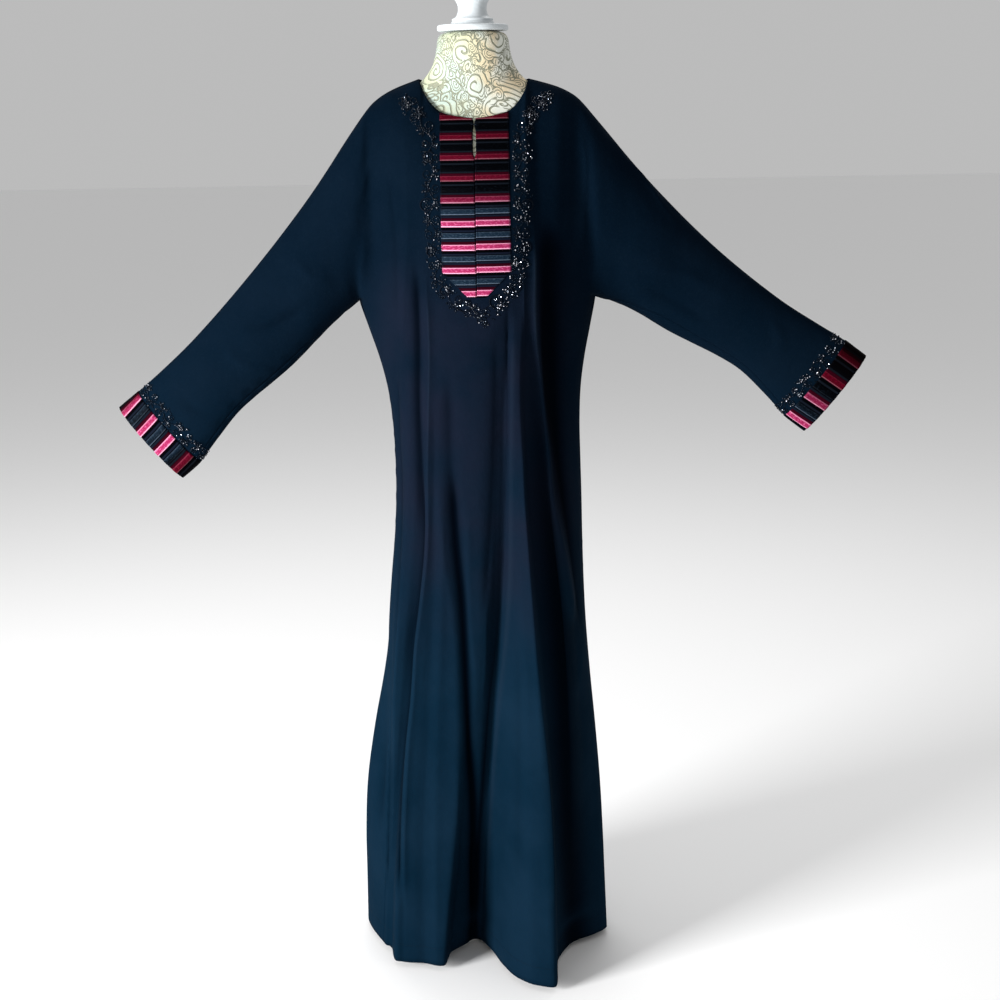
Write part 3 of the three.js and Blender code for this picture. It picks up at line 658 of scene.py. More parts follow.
def striped_satin():
    """Satin ribbons on a black ground, their colour read from the stripe map, with painted sheen and shade
    from the painted light attribute, painted highlights along the ribbons' edges and painted shade in
    patches and down the middle of the crimson.
    """
    satin = Finish("striped_satin", Specular_IOR_Level=0.015)
    stripes = satin.place("UV")
    repeat = stripes.axis("X")
    # Painted light: high for painted sheen, low or negative for painted shade.
    painted_light = satin.node("ShaderNodeAttribute", {"attribute_name": "painted_light"}, output="Fac")
    below = (repeat + 0.5) % 1.0 - 0.5
    part = abs(below)
    away = 0.5 - part
    red = part.step(RED_HALF + STRIPE_BLUR, RED_HALF - STRIPE_BLUR)
    slate = away.step(SLATE_HALF + STRIPE_BLUR, SLATE_HALF - STRIPE_BLUR)
    cord = abs(part - CORD_PLACE).step(CORD_HALF, CORD_HALF * 0.6)
    fringe = below.step(-0.28, -0.2) * below.step(-0.1, -0.13)
    # Painted highlights along the edges of the ribbons, strongest on their lower edges.
    lit_below = below.step(-0.05, 0.05) * 0.8
    red_edge_highlight = abs(part - 0.107).step(0.022, 0.010) * (0.15 + painted_light * 0.5 + lit_below)
    slate_edge_highlight = abs(away - 0.1).step(0.022, 0.01) * (0.2 + below.step(0.05, -0.05) * 0.8)
    threads = satin.noise(satin.stretched(stripes, 130, 900, 1), 1.0, 2.0)
    wrinkle = satin.noise(satin.stretched(stripes, 22, 240, 1), 1.0, 3.0)
    # Crimson, from dark crimson in painted shade to rose pink in painted sheen.
    crimson = satin.mix(painted_light, (0.090, 0.0012, 0.010, 1), (0.44, 0.080, 0.19, 1))
    # Painted shade in patches along the crimson ribbons and down their middle.
    core_shade = part.step(0.10, 0.03) * 0.12
    shaded_crimson = satin.mix(painted_light, (0.052, 0.0006, 0.005, 1), (0.25, 0.010, 0.060, 1))
    crimson = satin.mix((wrinkle + core_shade).step(0.48, 0.60) * 0.9, crimson, shaded_crimson)
    # Painted highlight colour for the edges of the crimson ribbons.
    painted_highlight = satin.mix(painted_light, (0.15, 0.055, 0.070, 1), (0.74, 0.36, 0.50, 1))
    crimson = satin.mix(red_edge_highlight * (0.4 + wrinkle), crimson, painted_highlight)
    # Slate, near black where the painted light is low, as painted shade.
    grey = satin.mix(painted_light.step(0.1, 0.8), (0.0001, 0.0003, 0.0009, 1), (0.0050, 0.0125, 0.0235, 1))
    # Painted sheen in patches along the slate ribbons where the painted light is high.
    grey = satin.mix(wrinkle.step(0.5, 0.66) * painted_light, grey, (0.022, 0.038, 0.058, 1))
    # Painted highlight along the edges of the slate ribbons.
    grey = satin.mix(slate_edge_highlight * painted_light.step(0.1, 0.8) * (0.4 + wrinkle), grey, (0.075, 0.100, 0.135, 1))
    ground = satin.mix(fringe, (0.0001, 0.0002, 0.0007, 1), (0.024, 0.0004, 0.004, 1))
    # Cords a little lighter where the painted light is high.
    cords = satin.mix(painted_light, (0.0038, 0.0058, 0.0090, 1), (0.0040, 0.0062, 0.0140, 1))
    colour = satin.mix(red, satin.mix(cord, ground, cords), crimson)
    colour = satin.mix(slate, colour, grey)
    # Painted shade: near black where the painted light is negative.
    colour = satin.mix(painted_light.step(0, -1), colour, (0.0006, 0.0001, 0.0003, 1))
    normal = satin.relief(threads, 0.00012, satin.relief(wrinkle, 0.0007))
    rough = 0.74 - (red + slate) * 0.3 + threads * 0.12
    return satin.wear(Base_Color=colour, Roughness=rough, Normal=normal)


satin = striped_satin()
front_surface = BVHTree.FromObject(front, bpy.context.evaluated_depsgraph_get())


def on_front(x, z):
    """The point of the front that lies straight behind (x, z), and the cloth's normal there."""
    point, normal, _, _ = front_surface.ray_cast(Vector((x, -0.6, z)), Vector((0, 1, 0)))
    return np.array(point), np.array(normal)


def bib_half(name, side):
    """One half of the bib: side is -1 on the left and 1 on the right."""
    first, last = front_panel.neck
    edge = [column[0] for column in front_panel.columns[first : last + 1]]
    neck_line = np.array(sorted(edge, key=lambda point: point[0]))
    across = np.linspace(0, 1, BIB_COLUMNS)
    down = np.linspace(BIB_TOP, BIB_BOTTOM, BIB_ROWS)
    slit_column = front_panel.columns[front_panel.slit]
    open_rows = range(SLIT_END, -1, -1)
    slit_heights = [slit_column[row][2] for row in open_rows]
    slit_widths = [front_panel.slit_width(row) + SLIT_MARGIN for row in open_rows]
    grid, normals = np.zeros((2, len(across), len(down), 3))
    for i, part in enumerate(across if side > 0 else across[::-1]):
        for j, height in enumerate(down):
            slit = np.interp(height, slit_heights, slit_widths)
            x = side * (slit + (BIB_HALF_WIDTH - slit) * part)
            top = np.interp(x, neck_line[:, 0], neck_line[:, 2]) - NECK_MARGIN
            bottom = BIB_BOTTOM + max(0, abs(x) - (BIB_HALF_WIDTH - BIB_CHAMFER))
            grid[i, j], normals[i, j] = on_front(x, float(np.clip(height, bottom, top)))
    heights = grid[:, :, 2]
    repeat = np.interp(-heights, -np.array(RED_HEIGHTS), np.arange(9.0))
    highest, lowest = RED_HEIGHTS[0], RED_HEIGHTS[-1]
    repeat += np.where(heights > highest, (highest - heights) / TOP_REPEAT, 0)
    repeat += np.where(heights < lowest, (lowest - heights) / BOTTOM_REPEAT, 0)
    repeat += BIB_SHIFT * side
    # Painted light down the bib, from the table above.
    painted_light = np.interp(repeat, *zip(*BIB_PAINTED_LIGHT))
    sewn_edge = np.minimum(1, np.minimum(across, 1 - across) / 0.05 + 0.15)[:: 1 if side > 0 else -1]
    rise = GROUND_RISE + (ribbon_rise(repeat) - GROUND_RISE) * sewn_edge[:, None]
    piece = striped_sheet(name, grid, normals, repeat, painted_light, grid[:, :, 0], rise)
    finish_piece(piece, satin)
    return piece


bib_left = bib_half("bib_left_satin", -1)
bib_right = bib_half("bib_right_satin", 1)
for half, node_name in ((bib_left, "bib_left"), (bib_right, "bib_right")):
    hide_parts(node_name)


# ---- the striped cuffs ----
# A band of the same satin round the end of each sleeve, its ribbons running along the sleeve.
# It is sewn on over the crepe, flush with the sleeve's end.

CUFF_COLUMNS = 16
CUFF_POINTS = 324
CUFF_REPEATS = 8
CUFF_WIDTH = 0.042


def sleeve_rings(on_left, first, last):
    """The sleeve's rings from its cuff in, each a closed line of points round the sleeve."""
    rings = []
    for step in range(first, last + 1):
        front_column = front_panel.columns[step if on_left else -1 - step][: front_panel.upper + 1]
        back_column = back_panel.columns[-1 - step if on_left else step][: back_panel.upper + 1]
        rings.append(np.array(front_column + back_column[::-1][1:-1]))
    return np.array(rings)


def finer_ring(ring, count):
    """The ring again, as count points evenly spaced along a smooth closed line."""
    wrapped = np.vstack([ring[-3:], ring, ring[:4]])
    line = smooth_line(wrapped, [4] * (len(wrapped) - 1))[12:-12]
    lengths = run_lengths(line)
    wanted = np.linspace(0, lengths[-1], count + 1)[:-1]
    return np.stack([np.interp(wanted, lengths, line[:, axis]) for axis in range(3)], axis=1)


def cuff(name, on_left, offset, skew, light_stops):
    """A striped cuff. Offset is where its first ribbon lies, in repeats, and skew how it leans."""
    rings = sleeve_rings(on_left, 0, CUFF_COLUMNS)
    grid = np.array([finer_ring(ring, CUFF_POINTS) for ring in rings]).transpose(1, 0, 2)
    around = np.arange(CUFF_POINTS) / CUFF_POINTS * CUFF_REPEATS
    inward = np.linspace(0, 1, grid.shape[1])
    repeat = around[:, None] - offset + skew * inward
    # Painted light round the cuff, from the given table.
    painted_light = np.repeat(np.interp(around, *zip(*light_stops))[:, None], grid.shape[1], axis=1)
    lengthways = np.repeat(CUFF_WIDTH * inward[None], grid.shape[0], axis=0)
    looped = np.vstack([grid[-1:], grid, grid[:1]])
    normals = grid_normals(looped)[1:-1]
    if (normals * (grid - grid.mean(axis=(0, 1)))).sum() < 0:
        grid, normals = grid[:, ::-1], -normals[:, ::-1]
        lengthways, repeat = lengthways[:, ::-1], repeat[:, ::-1]
    rise = ribbon_rise(repeat)
    piece = striped_sheet(name, grid, normals, repeat, painted_light, lengthways, rise, closed=True)
    finish_piece(piece, satin)
    return piece


# Painted light and shade on the ribbons round each cuff: (repeat, painted light), negative where they lie in
# full painted shade.
LEFT_PAINTED_LIGHT = [
    (0, -0.9), (0.2, -0.4), (0.3, 0.2), (0.45, 0.65), (0.7, 0.5), (0.95, 0.25), (1.2, 0.6), (1.45, 0.85),
    (1.7, 0.7), (1.95, 0.35), (2.2, 0.8), (2.45, 1.0), (2.7, 0.8), (2.95, 0.25), (3.2, 0.05), (3.45, 0.02),
    (3.8, -0.3), (4.5, 0), (6, 0.5), (7.5, 0.2), (8, -0.9),
]
RIGHT_PAINTED_LIGHT = [
    (0, -0.9), (0.5, -0.7), (0.7, -0.5), (1.1, -0.5), (1.5, -0.05), (2.1, 0.08), (2.5, 0.35), (2.8, 0.4),
    (3.1, 0.25), (3.5, 0.8), (4.2, 1.0), (6, 0.5), (8, -0.9),
]
cuff_left = cuff("cuff_left_satin", True, 0.44, 0.09, LEFT_PAINTED_LIGHT)
cuff_right = cuff("cuff_right_satin", False, 0.62, -0.05, RIGHT_PAINTED_LIGHT)
for band, node_name in ((cuff_left, "cuff_left"), (cuff_right, "cuff_right")):
    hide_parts(node_name)


# ---- the dress form ----
# A padded torso without arms or head, under a cream and gold cover that is embossed with leaf
# scrolls. Only its neck and the slope of its shoulders show above the neckline.


def form_cover():
    """Cream cloth embossed with scrolls: each curls round its own middle, with smaller scrolls between them.
    """
    cover = Finish("embossed_cover", Specular_IOR_Level=0.3)
    wrapped = cover.place("UV")
    bend = cover.node("ShaderNodeTexNoise", None, {"Vector": wrapped, "Scale": 30.0, "Detail": 1.0}, "Color")
    drift = cover.node(
        "ShaderNodeVectorMath", {"operation": "MULTIPLY_ADD"}, {0: bend, 1: (0.016,) * 3, 2: wrapped},
    )
    raised, free = 0.0, 1.0
    for scale, pitch, clear in ((24.0, 0.0068, 0.13), (70.0, 0.0034, 0.02)):
        cell = {"Vector": drift, "Scale": scale}
        middle = cover.node("ShaderNodeTexVoronoi", None, cell, "Position")
        chance = cover.node("ShaderNodeTexVoronoi", None, cell, "Color")
        edge = cover.node("ShaderNodeTexVoronoi", {"feature": "DISTANCE_TO_EDGE"}, cell)
        arm = cover.node("ShaderNodeVectorMath", {"operation": "SUBTRACT"}, {0: drift, 1: middle})
        reach = cover.node("ShaderNodeVectorMath", {"operation": "LENGTH"}, {0: arm}, "Value")
        across = arm.axis("X")
        along = arm.axis("Y")
        swirl = across.math("ARCTAN2", across, along) + reach * (2 * math.pi / pitch)
        scroll = (swirl + chance * 31.0).sine()
        within = edge.step(clear, clear + 0.03)
        raised = scroll.step(-0.95, -0.45) * within * free + raised
        free = 1 - within
    weave = cover.noise(wrapped, 900, 1.0)
    patch = cover.noise(wrapped, 16, 3.0).step(0.4, 0.62)
    # Greenish on the left and tan on the right, the cover's own tints, with the left painted darker and the
    # right lighter: painted shade and painted light that even out the key light from the left.
    side = wrapped.axis("X")
    left = cover.mix(patch, (0.40, 0.48, 0.42, 1), (0.44, 0.47, 0.32, 1))
    right = cover.mix(patch, (0.72, 0.74, 0.66, 1), (0.76, 0.63, 0.42, 1))
    pale = cover.mix(side.step(-0.04, 0.05), left, right)
    colour = cover.mix(raised, (0.24, 0.25, 0.18, 1), pale)
    normal = cover.relief(raised, 0.0011, cover.relief(weave, 0.00015))
    return cover.wear(Base_Color=colour, Roughness=0.7 - raised * 0.15, Normal=normal)


def smooth_copy(node_name, name, levels):
    """A smooth copy of a node's solid, its triangles joined to squares and subdivided."""
    work = bmesh.new()
    work.from_mesh(nodes[node_name].data)
    bmesh.ops.remove_doubles(work, verts=work.verts, dist=WELD)
    bmesh.ops.join_triangles(
        work, faces=work.faces, angle_face_threshold=1.2, angle_shape_threshold=1.2,
    )
    mesh = bpy.data.meshes.new(name)
    work.to_mesh(mesh)
    work.free()
    piece = placed(name, mesh)
    smooth = piece.modifiers.new("smooth", "SUBSURF")
    smooth.levels = smooth.render_levels = levels
    piece.data = plain_mesh(piece)
    piece.modifiers.clear()
    return piece


WRAP_RADIUS = 0.057
CHEST_GAP = 0.0025
form = smooth_copy("dress_form", "form_cover", 2)
wrap = form.data.uv_layers.new(name="wrap")
for polygon in form.data.polygons:
    centre = polygon.center
    middle = math.atan2(centre.x, -(centre.y - GARMENT_Y))
    for loop in polygon.loop_indices:
        point = form.data.vertices[form.data.loops[loop].vertex_index].co
        angle = math.atan2(point.x, -(point.y - GARMENT_Y))
        angle += round((middle - angle) / (2 * math.pi)) * 2 * math.pi
        wrap.data[loop].uv = (angle * WRAP_RADIUS, point.z)

# Under the slit the padding fills out to just behind the cloth.
chest_line = np.array(front_panel.columns[front_panel.slit][:24])[::-1]
for vertex in form.data.vertices:
    x, y, z = vertex.co
    rested = np.interp(z, chest_line[:, 2], chest_line[:, 1]) + CHEST_GAP
    share = np.interp(abs(x), [0.010, 0.045], [1, 0])
    share *= np.interp(z, [1.30, 1.36, 1.428, 1.442], [0, 1, 1, 0])
    if rested < y < rested + 0.05:
        vertex.co.y += (rested - y) * share
finish_piece(form, form_cover())
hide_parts("dress_form")


# ---- the cap ----
# A turned wooden cap that closes the form's neck: a round flange, a grooved ring and a ball
# finial on a narrow neck, painted satin white.

TURNED_SIDES = 72


def spun(name, profile, middle, bottom):
    """A turned piece from its profile of (radius, height) in mm, rounded at its corners."""
    mesh = bpy.data.meshes.new(name)
    work = bmesh.new()
    verts = [
        work.verts.new((middle[0] + radius / 1000, middle[1], bottom + height / 1000))
        for radius, height in profile
    ]
    edges = [work.edges.new(pair) for pair in zip(verts, verts[1:])]
    bmesh.ops.spin(
        work, geom=verts + edges, cent=(*middle, 0), axis=(0, 0, 1), angle=2 * math.pi,
        steps=TURNED_SIDES, use_merge=True,
    )
    bmesh.ops.remove_doubles(work, verts=work.verts, dist=1e-6)
    bmesh.ops.recalc_face_normals(work, faces=work.faces)
    work.to_mesh(mesh)
    work.free()
    return placed(name, mesh)


def white_paint():
    """Satin white paint on turned wood: faint turning marks and a little grain."""
    paint = Finish("white_paint", Specular_IOR_Level=0.5)
    place = paint.place()
    marks = paint.noise(paint.stretched(place, 6, 6, 900), 1.0, 2.0)
    grain = paint.noise(paint.stretched(place, 220, 220, 14), 1.0, 3.0)
    dirt = paint.noise(place, 60, 4.0).step(0.55, 0.8)
    colour = paint.mix(dirt * 0.4, (0.58, 0.62, 0.64, 1), (0.46, 0.48, 0.47, 1))
    normal = paint.relief(marks + grain * 0.4, 0.00012)
    return paint.wear(Base_Color=colour, Roughness=0.34 + grain * 0.12, Normal=normal)


CAP_PROFILE = [
    (0, 0), (53.5, 0), (54.6, 0.5), (55.5, 1.3), (56, 2.4), (56, 6.6), (55.5, 7.9), (54.6, 8.9),
    (53.5, 9.5), (40, 10.3), (34.8, 10.4), (34.0, 10.9), (33.6, 11.8), (33.6, 13.2), (33.1, 14.2),
    (32.2, 14.7), (31.7, 15.3), (31.7, 16.0), (32.4, 16.5), (32.6, 17.2), (32.4, 18.0), (31.4, 18.9),
    (30.2, 19.4), (28.2, 20.2), (26.2, 21.8), (24.6, 24.0), (23.4, 27.0), (22.6, 30.5), (22.3, 34.0),
    (22.6, 37.5), (23.8, 41.5), (25.6, 45.0), (27.8, 48.5), (29.8, 52.0), (31.4, 56.5), (32.3, 61.0),
    (32.2, 65.5), (31.2, 70.0), (29.2, 74.5), (26.2, 78.8), (22.4, 82.3), (17.8, 85.2), (12.4, 87.4),
    (6.4, 88.6), (0, 89),
]
cap = spun("cap_wood", CAP_PROFILE, (0, GARMENT_Y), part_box("cap")[0][2])
finish_piece(cap, white_paint())
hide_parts("cap")


# ---- the stand ----
# A brushed steel pole in a turned white hub, on a flat white steel base with three arms.
# The hem hides it from the front and the sides.


def brushed_steel():
    """Steel tube with fine turning marks round it and a few dull patches."""
    steel = Finish("brushed_steel", Metallic=1.0)
    place = steel.place()
    marks = steel.noise(steel.stretched(place, 12, 12, 1800), 1.0, 2.0)
    patch = steel.noise(place, 30, 4.0).step(0.5, 0.75)
    colour = steel.mix(patch, (0.62, 0.63, 0.65, 1), (0.46, 0.46, 0.47, 1))
    normal = steel.relief(marks, 0.00008)
    return steel.wear(Base_Color=colour, Roughness=0.28 + marks * 0.1 + patch * 0.12, Normal=normal)


def powder_coat():
    """White powder coat: a fine orange-peel skin, scuffed where feet have touched it."""
    coat = Finish("white_powder_coat", Specular_IOR_Level=0.5)
    place = coat.place()
    peel = coat.noise(place, 700, 2.0)
    scuff = coat.noise(coat.stretched(place, 30, 30, 90), 1.0, 5.0).step(0.58, 0.72)
    colour = coat.mix(scuff * 0.6, (0.80, 0.80, 0.78, 1), (0.55, 0.54, 0.51, 1))
    normal = coat.relief(peel, 0.0001)
    return coat.wear(Base_Color=colour, Roughness=0.38 + scuff * 0.25, Normal=normal)


HUB_PROFILE = [
    (0, 0), (23.5, 0), (25, 0.6), (26, 2), (26, 7), (25.4, 8.8), (23.6, 10.4), (22.2, 12), (21, 17),
    (20.3, 22), (19.6, 25), (18.4, 26.6), (17, 27), (0, 27),
]
coat = powder_coat()
hub = spun("hub_turned", HUB_PROFILE, (0, 0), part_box("hub")[0][2])
finish_piece(hub, coat)
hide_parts("hub")

pole_low, pole_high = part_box("pole")
pole_length = (pole_high[2] - pole_low[2]) * 1000
POLE_PROFILE = [
    (0, 0), (13.4, 0), (14, 0.6), (14, pole_length - 0.6), (13.4, pole_length), (0, pole_length),
]
pole = spun("pole_tube", POLE_PROFILE, (0, 0), pole_low[2])
finish_piece(pole, brushed_steel())
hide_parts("pole")

base = nodes["base"]
base.data.materials.clear()
base.data.materials.append(coat)


# ---- the beadwork ----
# Black glass beads and small clear stones sewn along a scrolling vine on both sides of the bib,
# in a cluster on each shoulder, in a point under the bib, and round each sleeve over its cuff.

BEAD_RADIUS, BEAD_SPACING, BEAD_LIFT = 0.0010, 0.0029, 0.0008
STONE_RADIUS, STONE_SPACING, STONE_LIFT = 0.0010, 0.0040, 0.0016
YOKE_STONE_SHARE, CUFF_STONE_SHARE = 0.34, 0.32
VINE_STEP = 0.0015


def curl(middle, start, turns, outer, inner):
    """A spiral about a middle, from its outer end in."""
    part = np.linspace(0, 1, 26)
    size = outer + (inner - outer) * part
    angle = start + 2 * math.pi * turns * part
    return np.stack([middle[0] + size * np.cos(angle), middle[1] + size * np.sin(angle)], axis=1)


def leaf(root, lean, length, width):
    """A loop with its root at one end."""
    part = np.linspace(0, 2 * math.pi, 13)
    reach, aside = length * (1 - np.cos(part)) / 2, width * np.sin(part)
    return np.stack([
        root[0] + reach * math.cos(lean) - aside * math.sin(lean),
        root[1] + reach * math.sin(lean) + aside * math.cos(lean),
    ], axis=1)


def vine_lines(length, period, band, seed):
    """A vine with curls, leaves and short scattered strokes, as lines of (along, across)."""
    chance = random.Random(seed)
    along = np.arange(0, length, VINE_STEP)
    lines = [np.stack([along, 0.16 * band * np.sin(2 * math.pi * along / period)], axis=1)]
    for bend, middle in enumerate(np.arange(period * 0.3, length - period * 0.2, period / 2)):
        side = 1 if bend % 2 else -1
        size = band * chance.uniform(0.22, 0.29)
        place = middle + chance.uniform(-0.001, 0.001), side * 0.2 * band
        lines.append(curl(place, -side * math.pi / 2, side * chance.uniform(1.3, 1.7), size, size * 0.3))
        for lean in (-1.1, -0.4, 0.35, 1.0):
            lean += chance.uniform(-0.15, 0.15)
            root = middle + 0.12 * band * math.sin(lean), -side * 0.16 * band
            lines.append(leaf(root, -side * (math.pi / 2 - lean), 0.3 * band, 0.045 * band))
    for _ in range(int(length / period * 9)):
        spot = np.array([chance.uniform(0, length), band * chance.uniform(-0.5, 0.5)])
        lean = chance.uniform(0, math.pi)
        lines.append(spot + np.outer([0, 0.0032], [math.cos(lean), math.sin(lean)]))
    return lines


def rosette(middle, petals, size):
    """A flower of leaves round a point."""
    return [leaf(middle, 2 * math.pi * petal / petals, size, 0.28 * size) for petal in range(petals)]


def along_route(route, lines):
    """Lines in a band's coordinates, laid along a route of (x, z)."""
    route = smooth_line(route, [8] * (len(route) - 1))
    lengths = run_lengths(route)
    heading = np.gradient(route, axis=0)
    heading /= np.linalg.norm(heading, axis=1, keepdims=True)
    laid = []
    for line in lines:
        spot = [np.interp(line[:, 0], lengths, route[:, axis]) for axis in range(2)]
        lean = [np.interp(line[:, 0], lengths, heading[:, axis]) for axis in range(2)]
        laid.append(np.stack([spot[0] - lean[1] * line[:, 1], spot[1] + lean[0] * line[:, 1]], axis=1))
    return laid


def sewn_lines(name, lines):
    """Lines of points in space as one curve object."""
    curve = bpy.data.curves.new(name, "CURVE")
    curve.dimensions = "3D"
    for line in lines:
        spline = curve.splines.new("POLY")
        spline.points.add(len(line) - 1)
        spline.points.foreach_set("co", np.hstack([line, np.ones((len(line), 1))]).ravel())
    return placed(name, curve)


def bead_tree(sides, rings):
    """Geometry nodes that thread beads along curves, each place kept or left out by chance."""
    tree = bpy.data.node_groups.new("threaded_beads", "GeometryNodeTree")
    for label, kind in (
        ("Thread", "NodeSocketGeometry"), ("Radius", "NodeSocketFloat"), ("Spacing", "NodeSocketFloat"),
        ("Share", "NodeSocketFloat"), ("Stretch", "NodeSocketFloat"), ("Seed", "NodeSocketInt"),
        ("Finish", "NodeSocketMaterial"),
    ):
        tree.interface.new_socket(label, in_out="INPUT", socket_type=kind)
    tree.interface.new_socket("Beads", in_out="OUTPUT", socket_type="NodeSocketGeometry")

    def add(kind, links, **settings):
        made = tree.nodes.new(kind)
        for setting, value in settings.items():
            setattr(made, setting, value)
        for socket, value in links.items():
            if isinstance(value, bpy.types.NodeSocket):
                tree.links.new(value, made.inputs[socket])
            else:
                made.inputs[socket].default_value = value
        return made

    given = add("NodeGroupInput", {}).outputs
    line = {"Curve": given["Thread"], "Length": given["Spacing"]}
    places = add("GeometryNodeCurveToPoints", line, mode="LENGTH")
    ball = {"Segments": sides, "Rings": rings, "Radius": given["Radius"]}
    bead = add("GeometryNodeMeshUVSphere", ball)
    drawn = add("ShaderNodeCombineXYZ", {"X": 1.0, "Y": 1.0, "Z": given["Stretch"]})
    longer = add("GeometryNodeTransform", {"Geometry": bead.outputs["Mesh"], "Scale": drawn.outputs[0]})
    chance = {"Probability": given["Share"], "Seed": given["Seed"]}
    kept = add("FunctionNodeRandomValue", chance, data_type="BOOLEAN")
    size = add("FunctionNodeRandomValue", {2: 0.72, 3: 1.12, "Seed": given["Seed"]}, data_type="FLOAT")
    threaded = add("GeometryNodeInstanceOnPoints", {
        "Points": places.outputs["Points"], "Instance": longer.outputs["Geometry"], "Scale": size.outputs[1],
        "Selection": kept.outputs[3], "Rotation": places.outputs["Rotation"],
    })
    solid = add("GeometryNodeRealizeInstances", {"Geometry": threaded.outputs["Instances"]})
    whole = {"Geometry": solid.outputs["Geometry"], "Material": given["Finish"]}
    dressed = add("GeometryNodeSetMaterial", whole)
    add("NodeGroupOutput", {"Beads": dressed.outputs["Geometry"]})
    return tree


def black_glass():
    """Jet black cut glass."""
    glass = Finish("jet_glass", Specular_IOR_Level=0.2, Specular_Tint=(0.5, 0.7, 1.0, 1))
    speck = glass.noise(glass.place(), 1200, 1.0)
    colour = glass.mix(speck, (0.0006, 0.001, 0.002, 1), (0.003, 0.0045, 0.008, 1))
    return glass.wear(Base_Color=colour, Roughness=0.06 + speck * 0.12)


def clear_stone():
    """Small foiled stones, silvery with a faint blue or rose fire from facet to facet, with painted glints
    on a random share and the rest painted dark, the glints fewer on the left and at the top.
    """
    stone = Finish("foiled_stone", Metallic=0.9, Coat_Weight=0.6, Coat_Roughness=0.05)
    place = stone.place()
    fire = stone.noise(place, 700, 1.0)
    across = place.axis("X")
    height = place.axis("Z")
    # Painted glints are fewer on the left and at the top.
    fewer_glints = (across.step(0.06, -0.07) + height.step(1.22, 1.40)) * 0.08
    painted_glint = (stone.noise(place, 210, 1.0) - fewer_glints).step(0.42, 0.56)
    colour = stone.mix(fire.step(0.4, 0.6), (0.78, 0.88, 1.0, 1), (0.95, 0.90, 0.98, 1))
    # Stones without a painted glint are painted dark.
    colour = stone.mix(painted_glint, (0.06, 0.075, 0.10, 1), colour)
    return stone.wear(Base_Color=colour, Roughness=0.08 + fire * 0.1)


jet, foil = black_glass(), clear_stone()
bead_nodes, stone_nodes = bead_tree(7, 4), bead_tree(6, 4)


def threaded(name, lines, tree, radius, spacing, share, seed, material, stretch=1.0):
    """Beads along lines, as a plain mesh."""
    thread = sewn_lines(name + "_thread", lines)
    beads = thread.modifiers.new("beads", "NODES")
    beads.node_group = tree
    values = {
        "Radius": radius, "Spacing": spacing, "Share": share, "Stretch": stretch, "Seed": seed,
        "Finish": material,
    }
    for item in tree.interface.items_tree:
        if item.in_out == "INPUT" and item.name in values:
            beads[item.identifier] = values[item.name]
    piece = placed(name, plain_mesh(thread))
    bpy.data.objects.remove(thread)
    finish_piece(piece, material, smooth=tree is bead_nodes)


def raised_on_front(lines, height):
    """Lines of (x, z) laid on the front and raised to the height of a bead's middle."""
    return [
        np.array([point + normal * height for point, normal in (on_front(*spot) for spot in line)])
        for line in lines
    ]


LEFT_ROUTE = [
    (-106, 1470), (-98, 1452), (-86, 1434), (-74, 1414), (-69, 1390), (-68, 1340), (-68, 1290),
    (-65, 1240), (-62, 1205), (-55, 1178), (-40, 1158), (-18, 1146), (4, 1134),
]
RIGHT_ROUTE = [
    (106, 1470), (100, 1452), (88, 1434), (77, 1414), (71, 1390), (71, 1340), (71, 1290), (69, 1240),
    (66, 1208), (60, 1182), (48, 1163), (28, 1150), (10, 1136),
]
YOKE_BAND = 0.030
YOKE_PERIOD = 0.046
FLOWERS = [
    (0.006, 1.133, 6, 0.012), (0.011, 1.120, 4, 0.006), (-0.106, 1.456, 6, 0.011),
    (-0.089, 1.441, 5, 0.009), (0.108, 1.453, 6, 0.012), (0.091, 1.438, 5, 0.010),
    (0.117, 1.464, 5, 0.008),
]
yoke_lines = []
for route, side in ((LEFT_ROUTE, -1), (RIGHT_ROUTE, 1)):
    route = np.array(route) / 1000
    reach = np.linalg.norm(np.diff(route, axis=0), axis=1).sum()
    vine = [line * (1, side) for line in vine_lines(reach, YOKE_PERIOD, YOKE_BAND, 4 + side)]
    yoke_lines += along_route(route, vine)
for x, z, petals, size in FLOWERS:
    yoke_lines += rosette((x, z), petals, size)
threaded(
    "yoke_beads", raised_on_front(yoke_lines, BEAD_LIFT), bead_nodes, BEAD_RADIUS, BEAD_SPACING,
    1.0, 3, jet,
)
threaded(
    "yoke_stones", raised_on_front(yoke_lines, STONE_LIFT), stone_nodes, STONE_RADIUS, STONE_SPACING,
    YOKE_STONE_SHARE, 8, foil,
)


def wire(name, lines, radius, material):
    """Round wire or cord along lines, as a plain mesh."""
    strand = sewn_lines(name + "_strand", lines)
    strand.data.bevel_depth, strand.data.bevel_resolution, strand.data.use_fill_caps = radius, 1, True
    piece = placed(name, plain_mesh(strand))
    bpy.data.objects.remove(strand)
    finish_piece(piece, material)


def black_cord():
    """Black rayon cord and thread: a tight twist with a soft shine."""
    cord = Finish("black_cord", Specular_IOR_Level=0.06, Specular_Tint=(0.5, 0.7, 1.0, 1))
    twist = cord.noise(cord.stretched(cord.place(), 900, 900, 2600), 1.0, 1.0)
    colour = cord.mix(twist, (0.0003, 0.0008, 0.002, 1), (0.003, 0.0045, 0.009, 1))
    normal = cord.relief(twist, 0.0002)
    return cord.wear(Base_Color=colour, Roughness=0.35 + twist * 0.25, Normal=normal)


thread_black = black_cord()
CORD_RADIUS, CORD_LIFT = 0.0010, 0.0009

